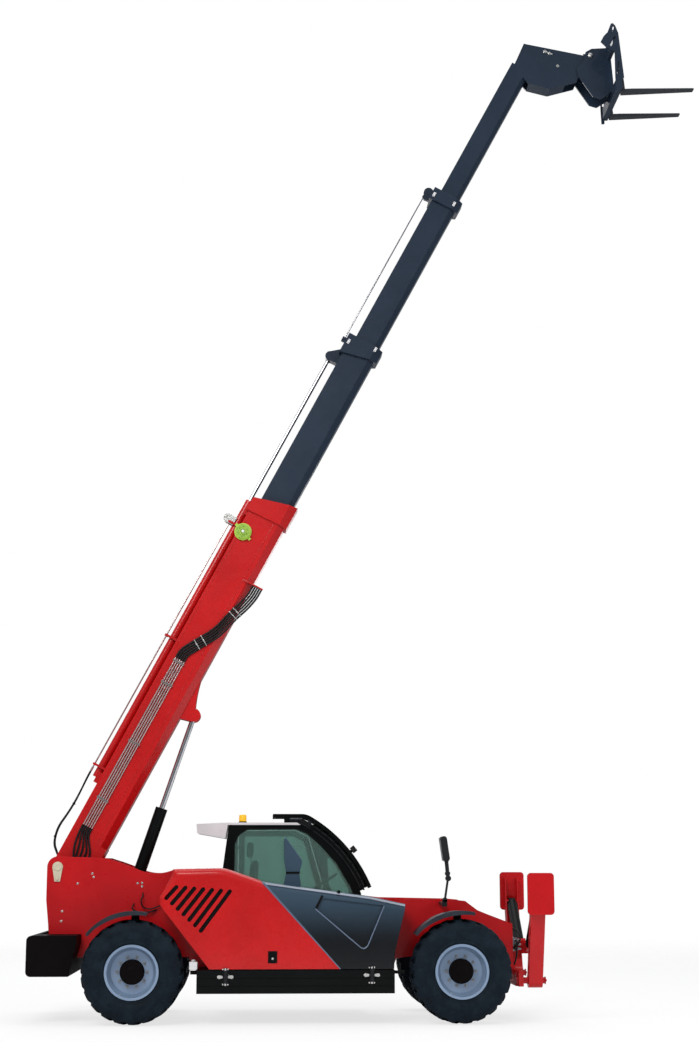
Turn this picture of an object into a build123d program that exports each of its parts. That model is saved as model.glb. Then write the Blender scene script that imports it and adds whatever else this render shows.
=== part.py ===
"""Four-wheel-steer telehandler with a four-section telescopic boom.

Millimetres, +X forward, +Y to the machine's left, +Z up. The ground is Z = 0, the centreline is
Y = 0 and X = 0 is the middle of the overall length. Lengths along the machine are given from the
rear axle and lengths along the boom from its foot pin, and the planes below place them.
"""
import os
from collections import namedtuple
from math import atan2, cos, degrees, radians, sin, tan

from build123d import *

os.makedirs("parts", exist_ok=True)

# ---------------------------------------------------------------- driving dimensions
wheelbase = 3660
tyre_radius = 570
tyre_width = 440
tyre_centre_y = 990
kingpin_y = 800
kingpin_radius = 30
rim_seat_radius = 284
rim_lip_radius = 300
rim_half_width = 205
rim_wall = 12
hub_radius = 125
spindle_radius = 60

running_gap = 0.05        # radial clearance of a shaft in its bearing
seat_gap = 0.3            # between a piece and the seat that carries it
swing_gap = 6             # between pieces that swing past each other
disc_y = 50               # inner face of the wheel disc, outboard of the tyre's middle
hub_back_y, hub_bearing_y, hub_face_y = -95, 15, 150
fender_radius = 642
fender_thickness = 14
fender_lip = 26
fender_inner_y = tyre_centre_y - 210
fender_width = 395
fender_front_angle, fender_sweep = 76, 66

plate_outer_y = 430       # outer face of the chassis side plates
plate_thickness = 25
plate_bottom_z = 700      # lower edge of the side plates over the axles
floor_z = 775             # underside of the chassis floor
floor_thickness = 25

counterweight_rear_x = -1190
counterweight_half_width = 950

pivot_x, pivot_z = -922, 1713
pivot_pin_radius = 50
tower_radius = 120
boom_angle = 62

lift_base_x, lift_base_z = -229, 1001
lift_lug_s, lift_lug_n = 2284, -510
lift_barrel_radius = 72
lift_rod_radius = 32
lift_barrel_length = 1470
lift_piston_start, lift_wall = 1250, 12
lift_pin_radius = 40
lift_ear_y = lift_barrel_radius + 6      # inner faces of the base clevis

carriage_s, carriage_n = 12126, -900      # tilt pin of the fork carriage, in boom axes
carriage_pin_radius = 28
carriage_half_width = 520
fork_reach_x = 6831                       # fork tips, from the rear axle
fork_spacing = 780

cab_right_y, cab_left_y = 452, 1160
cab_wall = 40
hood_inner_y, hood_outer_y = 452, 1150
hood_wall = 8
hood_hinge_y, hood_hinge_z = 476, 1520    # hinge line of the hood, its height over hood_hinge_x
hood_hinge_x, hood_hinge_fall = 1450, 0.138
hood_hinge_starts = (600, 2480)
hood_hinge_length = 90
hood_pin_radius = 8

stabiliser_x = 4531                       # middle of the stabiliser arms, from the rear axle
stabiliser_pivot_y, stabiliser_pivot_z = 770, 450
stabiliser_lean = 68.4                    # angle of a stowed arm above level
stabiliser_length = 1044
stabiliser_pin_radius = 35
ram_pin_radius = 22
ram_anchor_y, ram_anchor_z = 425, 800           # the ram's rod eye, on the chassis nose
ram_pin_y, ram_pin_z = 1048, 1290               # the ram's barrel eye, on the arm

overall_rear_x = counterweight_rear_x
overall_front_x = fork_reach_x
rear_axle_x = -(overall_rear_x + overall_front_x) / 2


# ---------------------------------------------------------------- places and planes
def at(x, y, z):
    """A point given from the rear axle."""
    return (rear_axle_x + x, y, z)


def hood_hinge_point(x):
    return at(x, -hood_hinge_y, hood_hinge_z - hood_hinge_fall * (x - hood_hinge_x))


def side_plane(y):
    """Local x is from the rear axle, local y is height, and extrusions go towards -Y."""
    return Plane(origin=at(0, y, 0), x_dir=(1, 0, 0), z_dir=(0, -1, 0))


def front_plane(x):
    """Local x is Y, local y is height, and extrusions go forward."""
    return Plane(origin=at(x, 0, 0), x_dir=(0, 1, 0), z_dir=(1, 0, 0))


boom_along = (cos(radians(boom_angle)), 0, sin(radians(boom_angle)))
boom_up = (-sin(radians(boom_angle)), 0, cos(radians(boom_angle)))


def boom_point(s, n, y=0):
    """A point given along the boom from its foot pin (s) and square to it (n, upward)."""
    x, _, z = (boom_along[i] * s + boom_up[i] * n for i in range(3))
    return at(pivot_x + x, y, pivot_z + z)


def boom_side(y):
    """Local x runs along the boom, local y square to it, and extrusions go towards -Y."""
    return Plane(origin=boom_point(0, 0, y), x_dir=boom_along, z_dir=(0, -1, 0))


def boom_cross(s):
    """A plane square to the boom: local x is Y, local y is the boom's upward side."""
    return Plane(origin=boom_point(s, 0), x_dir=(0, 1, 0), z_dir=boom_along)


def block(x0, x1, y0, y1, z0, z1, mode=Mode.ADD):
    """A box between two corners given from the rear axle."""
    with Locations(at((x0 + x1) / 2, (y0 + y1) / 2, (z0 + z1) / 2)):
        Box(x1 - x0, y1 - y0, z1 - z0, mode=mode)


def boom_block(s0, s1, n0, n1, y0, y1, mode=Mode.ADD):
    """A box square to the boom."""
    with BuildSketch(boom_side(y1)) as outline:
        with Locations(((s0 + s1) / 2, (n0 + n1) / 2)):
            Rectangle(s1 - s0, n1 - n0)
    extrude(outline.sketch, amount=y1 - y0, mode=mode)


def rod_between(start, end, radius, mode=Mode.ADD):
    """A round bar from one point to another."""
    start, end = Vector(*start), Vector(*end)
    along = end - start
    with BuildSketch(Plane(origin=start, z_dir=along)) as outline:
        Circle(radius)
    extrude(outline.sketch, amount=along.length, mode=mode)


def polar(radius, angle):
    """A point in a sketch at an angle in degrees."""
    return (radius * cos(radians(angle)), radius * sin(radians(angle)))


def arc_band(inner, outer, start, sweep):
    """In a sketch, the band between two arcs about its origin."""
    with BuildLine() as edge:
        CenterArc((0, 0), inner, start, sweep)
        CenterArc((0, 0), outer, start, sweep)
        for angle in (start, start + sweep):
            Line(polar(inner, angle), polar(outer, angle))
    make_face(edge.edges())


def keep(piece, node):
    """Label a finished piece and write its file."""
    piece.part.label = node
    export_step(piece.part, f"parts/{node}.step")


# ---------------------------------------------------------------- chassis
tower_front_z = 1814
nose_top_z, nose_bottom_z = 1326, 498
nose_front_x = 4330
belly_z = 480                                   # lower edge of the side plates between the axles

with BuildPart() as chassis_frame:
    with BuildSketch(side_plane(plate_outer_y)):
        with BuildLine():
            Polyline((pivot_x, pivot_z + tower_radius), (-368, tower_front_z), (-204, 1763), (-38, 1702))
            ThreePointArc((-38, 1702), (166, 1643), (433, 1692))
            Polyline((433, 1692), (455, 1605), (940, 1585), (2826, 1355), (3643, 1339), (3784, nose_top_z),
                     (3926, 1221), (4030, 1179), (nose_front_x, 1066), (nose_front_x + 10, nose_bottom_z),
                     (4080, nose_bottom_z), (3940, plate_bottom_z), (3146, plate_bottom_z), (2983, 681),
                     (2900, belly_z), (720, belly_z), (600, plate_bottom_z), (-860, plate_bottom_z),
                     (-984, 820), (pivot_x - tower_radius, 1342), (pivot_x - tower_radius, pivot_z))
            ThreePointArc((pivot_x - tower_radius, pivot_z),
                          (pivot_x - tower_radius * 0.7071, pivot_z + tower_radius * 0.7071),
                          (pivot_x, pivot_z + tower_radius))
        make_face()
        with Locations((pivot_x, pivot_z)):
            Circle(pivot_pin_radius + seat_gap, mode=Mode.SUBTRACT)
    extrude(amount=plate_thickness)
    mirror(about=Plane.XZ)
    plate_inner_y = plate_outer_y - plate_thickness
    block(-960, nose_front_x - 20, -plate_inner_y, plate_inner_y, floor_z, floor_z + floor_thickness)
    with BuildSketch(side_plane(plate_inner_y)):
        with BuildLine():
            Polyline((-1010, 1000), (-1034, 1342), (-1034, 1560), (-1014, 1560), (-1014, 1342), (-990, 1000),
                     close=True)
        make_face()
    extrude(amount=2 * plate_inner_y)
    # sloping nose cover and front plate
    with BuildSketch(side_plane(plate_inner_y)):
        with BuildLine():
            Polyline((2980, 1180), (3880, 1180), (nose_front_x, 1040), (nose_front_x, nose_bottom_z),
                     (4305, nose_bottom_z), (4305, 1020), (3876, 1158), (2980, 1158), close=True)
        make_face()
    extrude(amount=2 * plate_inner_y)
    block(2960, 2985, -plate_inner_y, plate_inner_y, floor_z + floor_thickness, 1180)
    # clevis that carries the lift cylinder's base
    lift_ear, ear_foot_z = 25, floor_z + floor_thickness
    for ear_y in (-lift_ear_y - lift_ear, lift_ear_y):
        with BuildSketch(side_plane(ear_y + lift_ear)):
            with BuildLine():
                Polyline((lift_base_x - 190, ear_foot_z), (lift_base_x - 80, lift_base_z))
                ThreePointArc((lift_base_x - 80, lift_base_z), (lift_base_x, lift_base_z + 80),
                              (lift_base_x + 80, lift_base_z))
                Polyline((lift_base_x + 80, lift_base_z), (lift_base_x + 190, ear_foot_z),
                         (lift_base_x - 190, ear_foot_z))
            make_face()
        extrude(amount=lift_ear)
    with Locations(Location(at(lift_base_x, 0, lift_base_z), (90, 0, 0))):
        Cylinder(lift_pin_radius, 2 * lift_ear_y + 60)
    # beam across the front that carries the stabilisers
    beam_back_x = nose_front_x - 10
    beam_front_x = beam_back_x + 75
    beam_end_y = stabiliser_pivot_y + 60
    beam_notch_x, beam_notch_y = 18, 100            # clears the front tyres at full lock
    block(beam_back_x, beam_front_x, -beam_end_y, beam_end_y, 385, 560)
    for side in (-1, 1):
        y0, y1 = sorted((side * (beam_end_y - beam_notch_y), side * (beam_end_y + 1)))
        block(beam_back_x - 1, beam_back_x + beam_notch_x, y0, y1, 384, 561, Mode.SUBTRACT)
    for side in (-1, 1):
        pin_middle_x = (beam_back_x + stabiliser_x + 110) / 2
        with Locations(at(pin_middle_x, side * stabiliser_pivot_y, stabiliser_pivot_z)):
            Cylinder(stabiliser_pin_radius, stabiliser_x + 110 - beam_back_x, rotation=(0, 90, 0))
    # clevises on the nose for the stabiliser rams: round-ended ears across the machine, on a web
    ram_ear_radius = 46
    for side in (-1, 1):
        for ear_x in (stabiliser_x - 51, stabiliser_x + 31):
            y0, y1 = sorted((side * 270, side * ram_anchor_y))
            block(ear_x, ear_x + 20, y0, y1, ram_anchor_z - ram_ear_radius, ram_anchor_z + ram_ear_radius)
            with Locations(at(ear_x + 10, side * ram_anchor_y, ram_anchor_z)):
                Cylinder(ram_ear_radius, 20, rotation=(0, 90, 0))
        y0, y1 = sorted((side * 270, side * 300))
        block(nose_front_x - 20, stabiliser_x + 51, y0, y1, ram_anchor_z - 75, ram_anchor_z + 75)
    # pins along the right-hand plate, which the hood turns on, with a bracket at each end
    for start_x in hood_hinge_starts:
        rod_between(hood_hinge_point(start_x - 20), hood_hinge_point(start_x + hood_hinge_length + 20),
                    hood_pin_radius)
        for end_x in (start_x - 20, start_x + hood_hinge_length + 4):
            foot_y, pin_y, pin_height = 2 - plate_outer_y, -hood_hinge_y, hood_hinge_point(end_x)[2]
            with BuildSketch(front_plane(end_x)) as bracket:
                with Locations((pin_y, pin_height)):
                    Circle(14)
                Polygon((pin_y - 14, pin_height), (pin_y + 14, pin_height), (foot_y, pin_height - 32),
                        (foot_y, pin_height - 90), (pin_y - 14, pin_height - 40), align=None)
            extrude(bracket.sketch, amount=16)
keep(chassis_frame, "chassis_frame")

with BuildPart() as boom_pivot_pin:
    with Locations(Location(at(pivot_x, 0, pivot_z), (90, 0, 0))):
        Cylinder(pivot_pin_radius, 2 * plate_outer_y + 30)
    for side in (-1, 1):
        with BuildSketch(side_plane(side * (plate_outer_y + 7) + 7)):
            with BuildLine():
                ThreePointArc((pivot_x - 60, pivot_z), (pivot_x, pivot_z + 60), (pivot_x + 60, pivot_z))
                Polyline((pivot_x + 60, pivot_z), (pivot_x + 32, pivot_z - 165),
                         (pivot_x - 32, pivot_z - 165), (pivot_x - 60, pivot_z))
            make_face()
        extrude(amount=14)
keep(boom_pivot_pin, "boom_pivot_pin")

with BuildPart() as counterweight:
    with BuildSketch(side_plane(counterweight_half_width)):
        with BuildLine():
            Polyline((counterweight_rear_x, 513), (-720, 513), (-632, 861), (-632, 959),
                     (counterweight_rear_x, 959), close=True)
        make_face()
        fillet(vertices().group_by(Axis.X)[0], 55)
    extrude(amount=2 * counterweight_half_width)
    block(-1100, -600, -plate_outer_y - seat_gap, plate_outer_y + seat_gap, 690, 960, mode=Mode.SUBTRACT)
keep(counterweight, "counterweight")

with BuildPart() as engine:
    block(900, 1950, -1050, -plate_outer_y - seat_gap, 640, 1300)
    block(1950, 2250, -980, -plate_outer_y - seat_gap, 700, 1150)
keep(engine, "engine")

skirt_back_x, skirt_front_x = 715, 2910
skirt_bottom_z, skirt_top_z = 338, 590
cab_floor_z = 745

with BuildPart() as side_boxes:
    block(skirt_back_x, skirt_front_x, -1160, -plate_outer_y, skirt_bottom_z, skirt_top_z)
    for groove_z in (415, 500):
        block(skirt_back_x, skirt_front_x, -1161, -1152, groove_z, groove_z + 8, mode=Mode.SUBTRACT)
    block(900, 2740, plate_outer_y, 1160, skirt_bottom_z, cab_floor_z)
    block(1350, 1900, 960, 1161, 430, 640, mode=Mode.SUBTRACT)
keep(side_boxes, "side_boxes")

# ---------------------------------------------------------------- axles, knuckles, fenders and wheels
yoke_inner_z = 115        # from the axle line to the yoke's inner faces
yoke_outer_z = 190
axle_table = (("front", wheelbase), ("rear", 0))          # name, distance from the rear axle
side_table = (("left", 1), ("right", -1))                 # name, sign of Y


def wheel_plane(x, side):
    """At a wheel's centre: local x is outboard and local y is up."""
    return Plane(origin=at(x, side * tyre_centre_y, tyre_radius), x_dir=(0, side, 0), z_dir=(side, 0, 0))


def wheel_axis(x):
    return Axis(at(x, 0, tyre_radius), (0, 1, 0))


for axle_name, axle_x in axle_table:
    with BuildPart() as axle:
        with BuildSketch(Plane(origin=at(axle_x, 0, tyre_radius), x_dir=(0, 1, 0), z_dir=(1, 0, 0))):
            with BuildLine():
                Polyline((-620, 0), (-620, 85), (-230, 95), (-130, 180))
                ThreePointArc((-130, 180), (0, 195), (130, 180))
                Polyline((130, 180), (230, 95), (620, 85), (620, 0), (-620, 0))
            make_face()
        revolve(axis=wheel_axis(axle_x))
        for side in (-1, 1):
            block(axle_x - 75, axle_x + 75, min(side * 580, side * 625), max(side * 580, side * 625),
                  tyre_radius - yoke_outer_z, tyre_radius + yoke_outer_z)
            for low in (-yoke_outer_z, yoke_inner_z):
                with BuildSketch(Plane.XY.offset(tyre_radius + low)):
                    with Locations(at(axle_x, side * kingpin_y, 0)[:2]):
                        Circle(75)
                    with Locations(at(axle_x, side * (kingpin_y + 600) / 2, 0)[:2]):
                        Rectangle(150, kingpin_y - 600)
                    with Locations(at(axle_x, side * kingpin_y, 0)[:2]):
                        Circle(kingpin_radius + running_gap, mode=Mode.SUBTRACT)
                extrude(amount=yoke_outer_z - yoke_inner_z)
            # saddle up to the chassis floor
            block(axle_x - 90, axle_x + 90, min(side * 260, side * 390), max(side * 260, side * 390),
                  tyre_radius + 40, floor_z)
    keep(axle, f"axle_{axle_name}")

    for side_name, side in side_table:
        corner = f"{axle_name}_{side_name}"
        with BuildPart() as knuckle:
            with Locations(at(axle_x, side * kingpin_y, tyre_radius)):
                Cylinder(65, 2 * yoke_inner_z - 2 * swing_gap)
            with Locations(at(axle_x, side * kingpin_y, tyre_radius + 10)):
                Cylinder(kingpin_radius, 2 * yoke_outer_z + 20)
            with BuildSketch(Plane(origin=at(axle_x, side * kingpin_y, tyre_radius), x_dir=(1, 0, 0),
                                   z_dir=(0, side, 0))):
                Circle(spindle_radius)
            extrude(amount=190)
            # arm above the yoke that carries the fender
            arm_z = tyre_radius + yoke_outer_z + swing_gap
            inner_y, outer_y = kingpin_y - 100, kingpin_y + 30
            block(axle_x - 45, axle_x + 45, min(side * inner_y, side * outer_y),
                  max(side * inner_y, side * outer_y), arm_z, arm_z + 24)
            block(axle_x - 45, axle_x + 45, min(side * inner_y, side * (inner_y + 16)),
                  max(side * inner_y, side * (inner_y + 16)), arm_z, tyre_radius + fender_radius - 12)
            with BuildSketch(Plane(origin=at(axle_x, side * inner_y, tyre_radius), x_dir=(1, 0, 0),
                                   z_dir=(0, -1, 0))):
                arc_band(fender_radius - 20, fender_radius - seat_gap, 86, 8)
            extrude(amount=-side * (fender_inner_y + fender_width - 60 - inner_y))
        keep(knuckle, f"knuckle_{corner}")

        with BuildPart() as fender:
            with BuildSketch(Plane(origin=at(axle_x, side * fender_inner_y, tyre_radius), x_dir=(1, 0, 0),
                                   z_dir=(0, -1, 0))):
                arc_band(fender_radius, fender_radius + fender_thickness, fender_front_angle, fender_sweep)
            extrude(amount=-side * fender_width)
            # rolled lip along the outer edge
            lip_y = side * (fender_inner_y + fender_width - fender_lip)
            with BuildSketch(Plane(origin=at(axle_x, lip_y, tyre_radius), x_dir=(1, 0, 0),
                                   z_dir=(0, -1, 0))):
                arc_band(fender_radius - fender_lip / 2, fender_radius + fender_thickness,
                         fender_front_angle, fender_sweep)
            extrude(amount=-side * fender_lip)
        keep(fender, f"fender_{corner}")

        with BuildPart() as tyre:
            with BuildSketch(wheel_plane(axle_x, side)):
                half = tyre_width / 2
                with BuildLine():
                    Polyline((-rim_half_width + 14, rim_seat_radius + seat_gap),
                             (-rim_half_width + 14, rim_lip_radius + 7), (-half + 8, 345))
                    ThreePointArc((-half + 8, 345), (-half, 425), (-half + 14, 505))
                    Polyline((-half + 14, 505), (-half + 42, 552), (-half + 90, tyre_radius),
                             (half - 90, tyre_radius), (half - 42, 552), (half - 14, 505))
                    ThreePointArc((half - 14, 505), (half, 425), (half - 8, 345))
                    Polyline((half - 8, 345), (rim_half_width - 14, rim_lip_radius + 7),
                             (rim_half_width - 14, rim_seat_radius + seat_gap),
                             (-rim_half_width + 14, rim_seat_radius + seat_gap))
                make_face()
            revolve(axis=wheel_axis(axle_x))
        keep(tyre, f"tyre_{corner}")

        with BuildPart() as rim:
            with BuildSketch(wheel_plane(axle_x, side)):
                with BuildLine():
                    Polyline((-rim_half_width, rim_lip_radius), (-rim_half_width + 12, rim_lip_radius),
                             (-rim_half_width + 12, rim_seat_radius), (rim_half_width - 12, rim_seat_radius),
                             (rim_half_width - 12, rim_lip_radius), (rim_half_width, rim_lip_radius),
                             (rim_half_width, rim_seat_radius - rim_wall),
                             (disc_y + 60, rim_seat_radius - rim_wall), (disc_y + 18, 235),
                             (disc_y + 18, hub_radius), (hub_face_y - 12, hub_radius),
                             (hub_face_y, hub_radius - 12), (hub_face_y, 0), (hub_bearing_y, 0),
                             (hub_bearing_y, spindle_radius + running_gap),
                             (hub_back_y, spindle_radius + running_gap), (hub_back_y, hub_radius - 15),
                             (disc_y, hub_radius - 15), (disc_y, 235),
                             (disc_y + 42, rim_seat_radius - rim_wall),
                             (-rim_half_width, rim_seat_radius - rim_wall), close=True)
                make_face()
            revolve(axis=wheel_axis(axle_x))
        keep(rim, f"rim_{corner}")

# ---------------------------------------------------------------- boom
Section = namedtuple("Section", "width top bottom wall chamfer rear front collar_length collar_rise "
                                "front_slant rear_slant")
boom_sections = {
    # box sections in boom axes: width, upper and lower faces, wall, bottom chamfer, rear and front ends,
    # the collar's length and rise, and how far its two ends slant forward towards the lower side
    "outer": Section(400, 97, -382, 12, 80, 250, 4930, 170, 28, 150, 20),
    "second": Section(340, 34, -356, 12, 68, 2200, 7330, 270, 40, 0, 105),
    "third": Section(290, -14, -334, 10, 58, 4100, 9550, 165, 40, 0, 10),
    "fourth": Section(240, -58, -313, 10, 48, 6000, 11560, 0, 0, 0, 0),
}
pad_length = 90


def section_outline(section, grow=0.0):
    """The box section with its two lower edges chamfered, grown all round."""
    half, top, bottom = section.width / 2 + grow, section.top + grow, section.bottom - grow
    cut = section.chamfer + grow * 0.586
    Polygon((-half, top), (half, top), (half, bottom + cut), (half - cut, bottom), (cut - half, bottom),
            (-half, bottom + cut), align=None)


def section_bar(section, s0, s1, grow=0.0, mode=Mode.ADD):
    """A length of the section's outline, filled."""
    with BuildSketch(boom_cross(s0)) as outline:
        section_outline(section, grow)
    extrude(outline.sketch, amount=s1 - s0, mode=mode)


def collar_side(section, s0, s1):
    """The part of the boom's side view between two slanted lines across the section."""
    low, high = section.bottom - section.collar_rise - 5, section.top + section.collar_rise + 5
    Polygon((s0, high), (s1, high), (s1 + section.front_slant, low), (s0 + section.rear_slant, low),
            align=None)


def section_tube(section):
    """The box section with the thick band round its mouth, whose ends are cut on a slant."""
    far = section.front + section.front_slant
    section_bar(section, section.rear, section.front)
    if section.collar_length:
        start = section.front - section.collar_length
        with BuildPart(mode=Mode.PRIVATE) as collar:
            section_bar(section, start - 10, far + 10, section.collar_rise)
            with BuildSketch(boom_side(section.width)) as side_view:
                collar_side(section, start, section.front)
            extrude(side_view.sketch, amount=2 * section.width, mode=Mode.INTERSECT)
        add(collar.part)


def section_hollow(section):
    """The room inside the section, open at both ends."""
    far = section.front + section.front_slant + 11
    section_bar(section, section.rear - 1, far, -section.wall, Mode.SUBTRACT)


def boom_rod(s0, s1, n, y, radius, mode=Mode.ADD):
    """A round bar along the boom."""
    with BuildSketch(boom_cross(s0)) as outline:
        with Locations((y, n)):
            Circle(radius)
    extrude(outline.sketch, amount=s1 - s0, mode=mode)


def guide_pads(outer, inner, s):
    """Four pads between two sections, from the outer one's walls to the inner one's faces."""
    mid = (inner.top + inner.bottom) / 2
    boom_block(s, s + pad_length, inner.top + seat_gap, outer.top - outer.wall, -inner.width * 0.38,
               inner.width * 0.38)
    boom_block(s, s + pad_length, outer.bottom + outer.wall, inner.bottom - seat_gap,
               -inner.width * 0.24, inner.width * 0.24)
    for side in (-1, 1):
        y0, y1 = sorted((side * (inner.width / 2 + seat_gap), side * (outer.width / 2 - outer.wall)))
        boom_block(s, s + pad_length, mid - 20, mid + 100, y0, y1)


def rear_pads(inner, outer, s):
    """Pads on the tail of the inner section, up to the outer one's walls."""
    mid = (inner.top + inner.bottom) / 2
    boom_block(s, s + pad_length, inner.top, outer.top - outer.wall - seat_gap, -inner.width * 0.38,
               inner.width * 0.38)
    boom_block(s, s + pad_length, outer.bottom + outer.wall + seat_gap, inner.bottom, -inner.width * 0.24,
               inner.width * 0.24)
    for side in (-1, 1):
        y0, y1 = sorted((side * inner.width / 2, side * (outer.width / 2 - outer.wall - seat_gap)))
        boom_block(s, s + pad_length, mid - 20, mid + 100, y0, y1)


outer, second, third, fourth = (boom_sections[name] for name in ("outer", "second", "third", "fourth"))
telescope_n = 160
telescope_barrel_radius, telescope_rod_radius = 47, 22
telescope_rear_s, telescope_front_s = 1100, 4900
telescope_lug_s = 6930
telescope_piston_s = 3050
telescope_wall = 11
upper_rod_n, upper_rod_y, upper_rod_radius = 122, 85, 9
lug_gap, lug_plate = 2 * lift_ear_y, 30

foot_tube_radius = 88
# saddles under the telescope cylinder: where each starts, and its length
saddles = ((telescope_rear_s - 60, 130), (outer.front - 210, 60))
saddle_half_width = 62
top_pipe_n, top_pipe_y, top_pipe_radius = 252, 13, 8      # the pair of pipes over the telescope cylinder
top_pipe_rear_s, top_pipe_front_s = 1190, 4600
fitting_length, fitting_radius = 58, 12
pipe_stands = (1215, 2960, 4540)                    # where their stands are
stand_length, stand_y = 26, telescope_barrel_radius + 8
pipe_radius, pipe_pitch, pipe_count = 8, 28, 5      # the row of pipes on the boom's right side
pipe_row_n, pipe_row_y = 1, outer.width / 2 + 14    # topmost pipe, and the row's distance from the centreline
pipe_rear_s, pipe_front_s = 555, 2775
pipe_clamps, clamp_length = (900, 1650, 2440, 2730), 24
hose_radius = 12
bundle_end_s, bundle_end_n = 3975, -450             # bracket under the boom that takes the bundle of hoses
# middle of the bundle, from the pipes' front ends round under the boom
row_middle_n = pipe_row_n - pipe_pitch * (pipe_count - 1) / 2
bundle_route = ((pipe_front_s + seat_gap, row_middle_n), (2870, row_middle_n), (3040, -150), (3270, -290),
                (3530, -352), (3710, -418), (3860, bundle_end_n), (bundle_end_s - seat_gap, bundle_end_n))

with BuildPart() as boom_outer:
    section_tube(outer)
    for cheek_y in (outer.width / 2, 32 - outer.width / 2):
        with BuildSketch(boom_side(cheek_y)):
            with BuildLine():
                Polyline((-40, 92), (60, outer.top), (420, outer.top), (420, outer.bottom),
                         (300, outer.bottom), (-60, -80))
                ThreePointArc((-60, -80), (-100, 0), (-40, 92))
            make_face()
        extrude(amount=32)
    with BuildSketch(boom_side(plate_inner_y - swing_gap)):
        Circle(foot_tube_radius)
    extrude(amount=2 * (plate_inner_y - swing_gap))
    for ear_y in (lug_gap / 2 + lug_plate, -lug_gap / 2):
        with BuildSketch(boom_side(ear_y)):
            with BuildLine():
                Polyline((2700, outer.bottom + 2), (2170, outer.bottom + 2),
                         (lift_lug_s - 76, lift_lug_n - 18))
                ThreePointArc((lift_lug_s - 76, lift_lug_n - 18), (lift_lug_s + 10, lift_lug_n - 78),
                              (lift_lug_s + 76, lift_lug_n + 20))
                ThreePointArc((lift_lug_s + 76, lift_lug_n + 20), (2500, outer.bottom - 52),
                              (2700, outer.bottom + 2))
            make_face()
        extrude(amount=lug_plate)
    section_hollow(outer)
    with BuildSketch(boom_side(plate_inner_y)):
        Circle(pivot_pin_radius + running_gap)
    extrude(amount=2 * plate_inner_y, mode=Mode.SUBTRACT)
    guide_pads(outer, second, outer.front - 20 - pad_length)
    # notch in the collar for the upper rod, and the saddles under the telescope cylinder
    with BuildSketch(boom_cross(outer.front - outer.collar_length - 20)):
        with Locations((upper_rod_y, upper_rod_n)):
            Rectangle(36, 36)
    extrude(amount=outer.collar_length + 60, mode=Mode.SUBTRACT)
    for saddle_s, saddle_length in saddles:
        boom_block(saddle_s, saddle_s + saddle_length, outer.top, telescope_n, -saddle_half_width,
                   saddle_half_width)
    # stands for the pipes above the telescope cylinder, beside the barrel and over it
    for stand_s in pipe_stands:
        with BuildSketch(boom_cross(stand_s)) as stand:
            Polygon((-stand_y - 30, outer.top), (-stand_y, outer.top), (-stand_y, top_pipe_n - 22),
                    (top_pipe_y + 16, top_pipe_n - 22), (top_pipe_y + 16, top_pipe_n + 16),
                    (-stand_y - 8, top_pipe_n + 16), (-stand_y - 30, top_pipe_n - 6), align=None)
        extrude(stand.sketch, amount=stand_length)
    boom_rod(telescope_rear_s, telescope_front_s + 200, telescope_n, 0, telescope_barrel_radius + seat_gap,
             Mode.SUBTRACT)
    for pipe_y in (-top_pipe_y, top_pipe_y):
        boom_rod(pipe_stands[0] - 1, pipe_stands[-1] + stand_length + 1, top_pipe_n, pipe_y,
                 top_pipe_radius + seat_gap, Mode.SUBTRACT)
    # bracket under the boom that takes the bundle of hoses
    with BuildSketch(boom_cross(bundle_end_s)) as bracket:
        with Locations((-pipe_row_y, bundle_end_n)):
            Rectangle(2 * hose_radius + 16, pipe_pitch * pipe_count)
        bracket_out, bracket_in = -pipe_row_y - hose_radius - 8, -pipe_row_y + hose_radius + 8
        Polygon((bracket_out, bundle_end_n), (bracket_out, outer.bottom + 60),
                (-outer.width / 2, outer.bottom + 140), (10 - outer.width / 2, outer.bottom + 140),
                (60 - outer.width / 2, outer.bottom + 6), (bracket_in, bundle_end_n), align=None)
    extrude(bracket.sketch, amount=16)
keep(boom_outer, "boom_outer")

telescope_stop = 50
with BuildPart() as telescope_barrel:
    boom_rod(telescope_rear_s, telescope_front_s, telescope_n, 0, telescope_barrel_radius)
    boom_rod(telescope_rear_s + telescope_stop, telescope_front_s - 80, telescope_n, 0,
             telescope_barrel_radius - telescope_wall, Mode.SUBTRACT)
    boom_rod(telescope_front_s - 81, telescope_front_s + 1, telescope_n, 0,
             telescope_rod_radius + running_gap, Mode.SUBTRACT)
keep(telescope_barrel, "telescope_barrel")

with BuildPart() as telescope_rod:
    boom_rod(telescope_piston_s, telescope_lug_s + 90, telescope_n, 0, telescope_rod_radius)
    boom_rod(telescope_piston_s, telescope_piston_s + 60, telescope_n, 0,
             telescope_barrel_radius - telescope_wall - seat_gap)
keep(telescope_rod, "telescope_rod")

def tube_along(points, radius):
    """A hose along straight runs, with each corner's arc as large as its two runs allow."""
    runs = [Vector(*end) - Vector(*start) for start, end in zip(points, points[1:])]
    radii = [
        0.45 * min(before.length, after.length) / tan(radians(before.get_angle(after)) / 2)
        for before, after in zip(runs, runs[1:])
    ]
    with BuildLine() as centre:
        FilletPolyline(*points, radius=radii)
    with BuildSketch(Plane(origin=points[0], z_dir=runs[0])) as bore:
        Circle(radius)
    sweep(bore.sketch, path=centre.wire())
    return radii


def beside(route, distance):
    """A flat route's points, moved sideways so that the two stay parallel."""
    moved = []
    for i, (s, n) in enumerate(route):
        before = route[max(i, 1) - 1:max(i, 1) + 1]
        after = route[min(i, len(route) - 2):min(i, len(route) - 2) + 2]
        angles = [atan2(end[1] - start[1], end[0] - start[0]) for start, end in (before, after)]
        middle, half_turn = sum(angles) / 2, (angles[1] - angles[0]) / 2
        reach = distance / cos(half_turn)
        moved.append((s - reach * sin(middle), n + reach * cos(middle)))
    return moved


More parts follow.
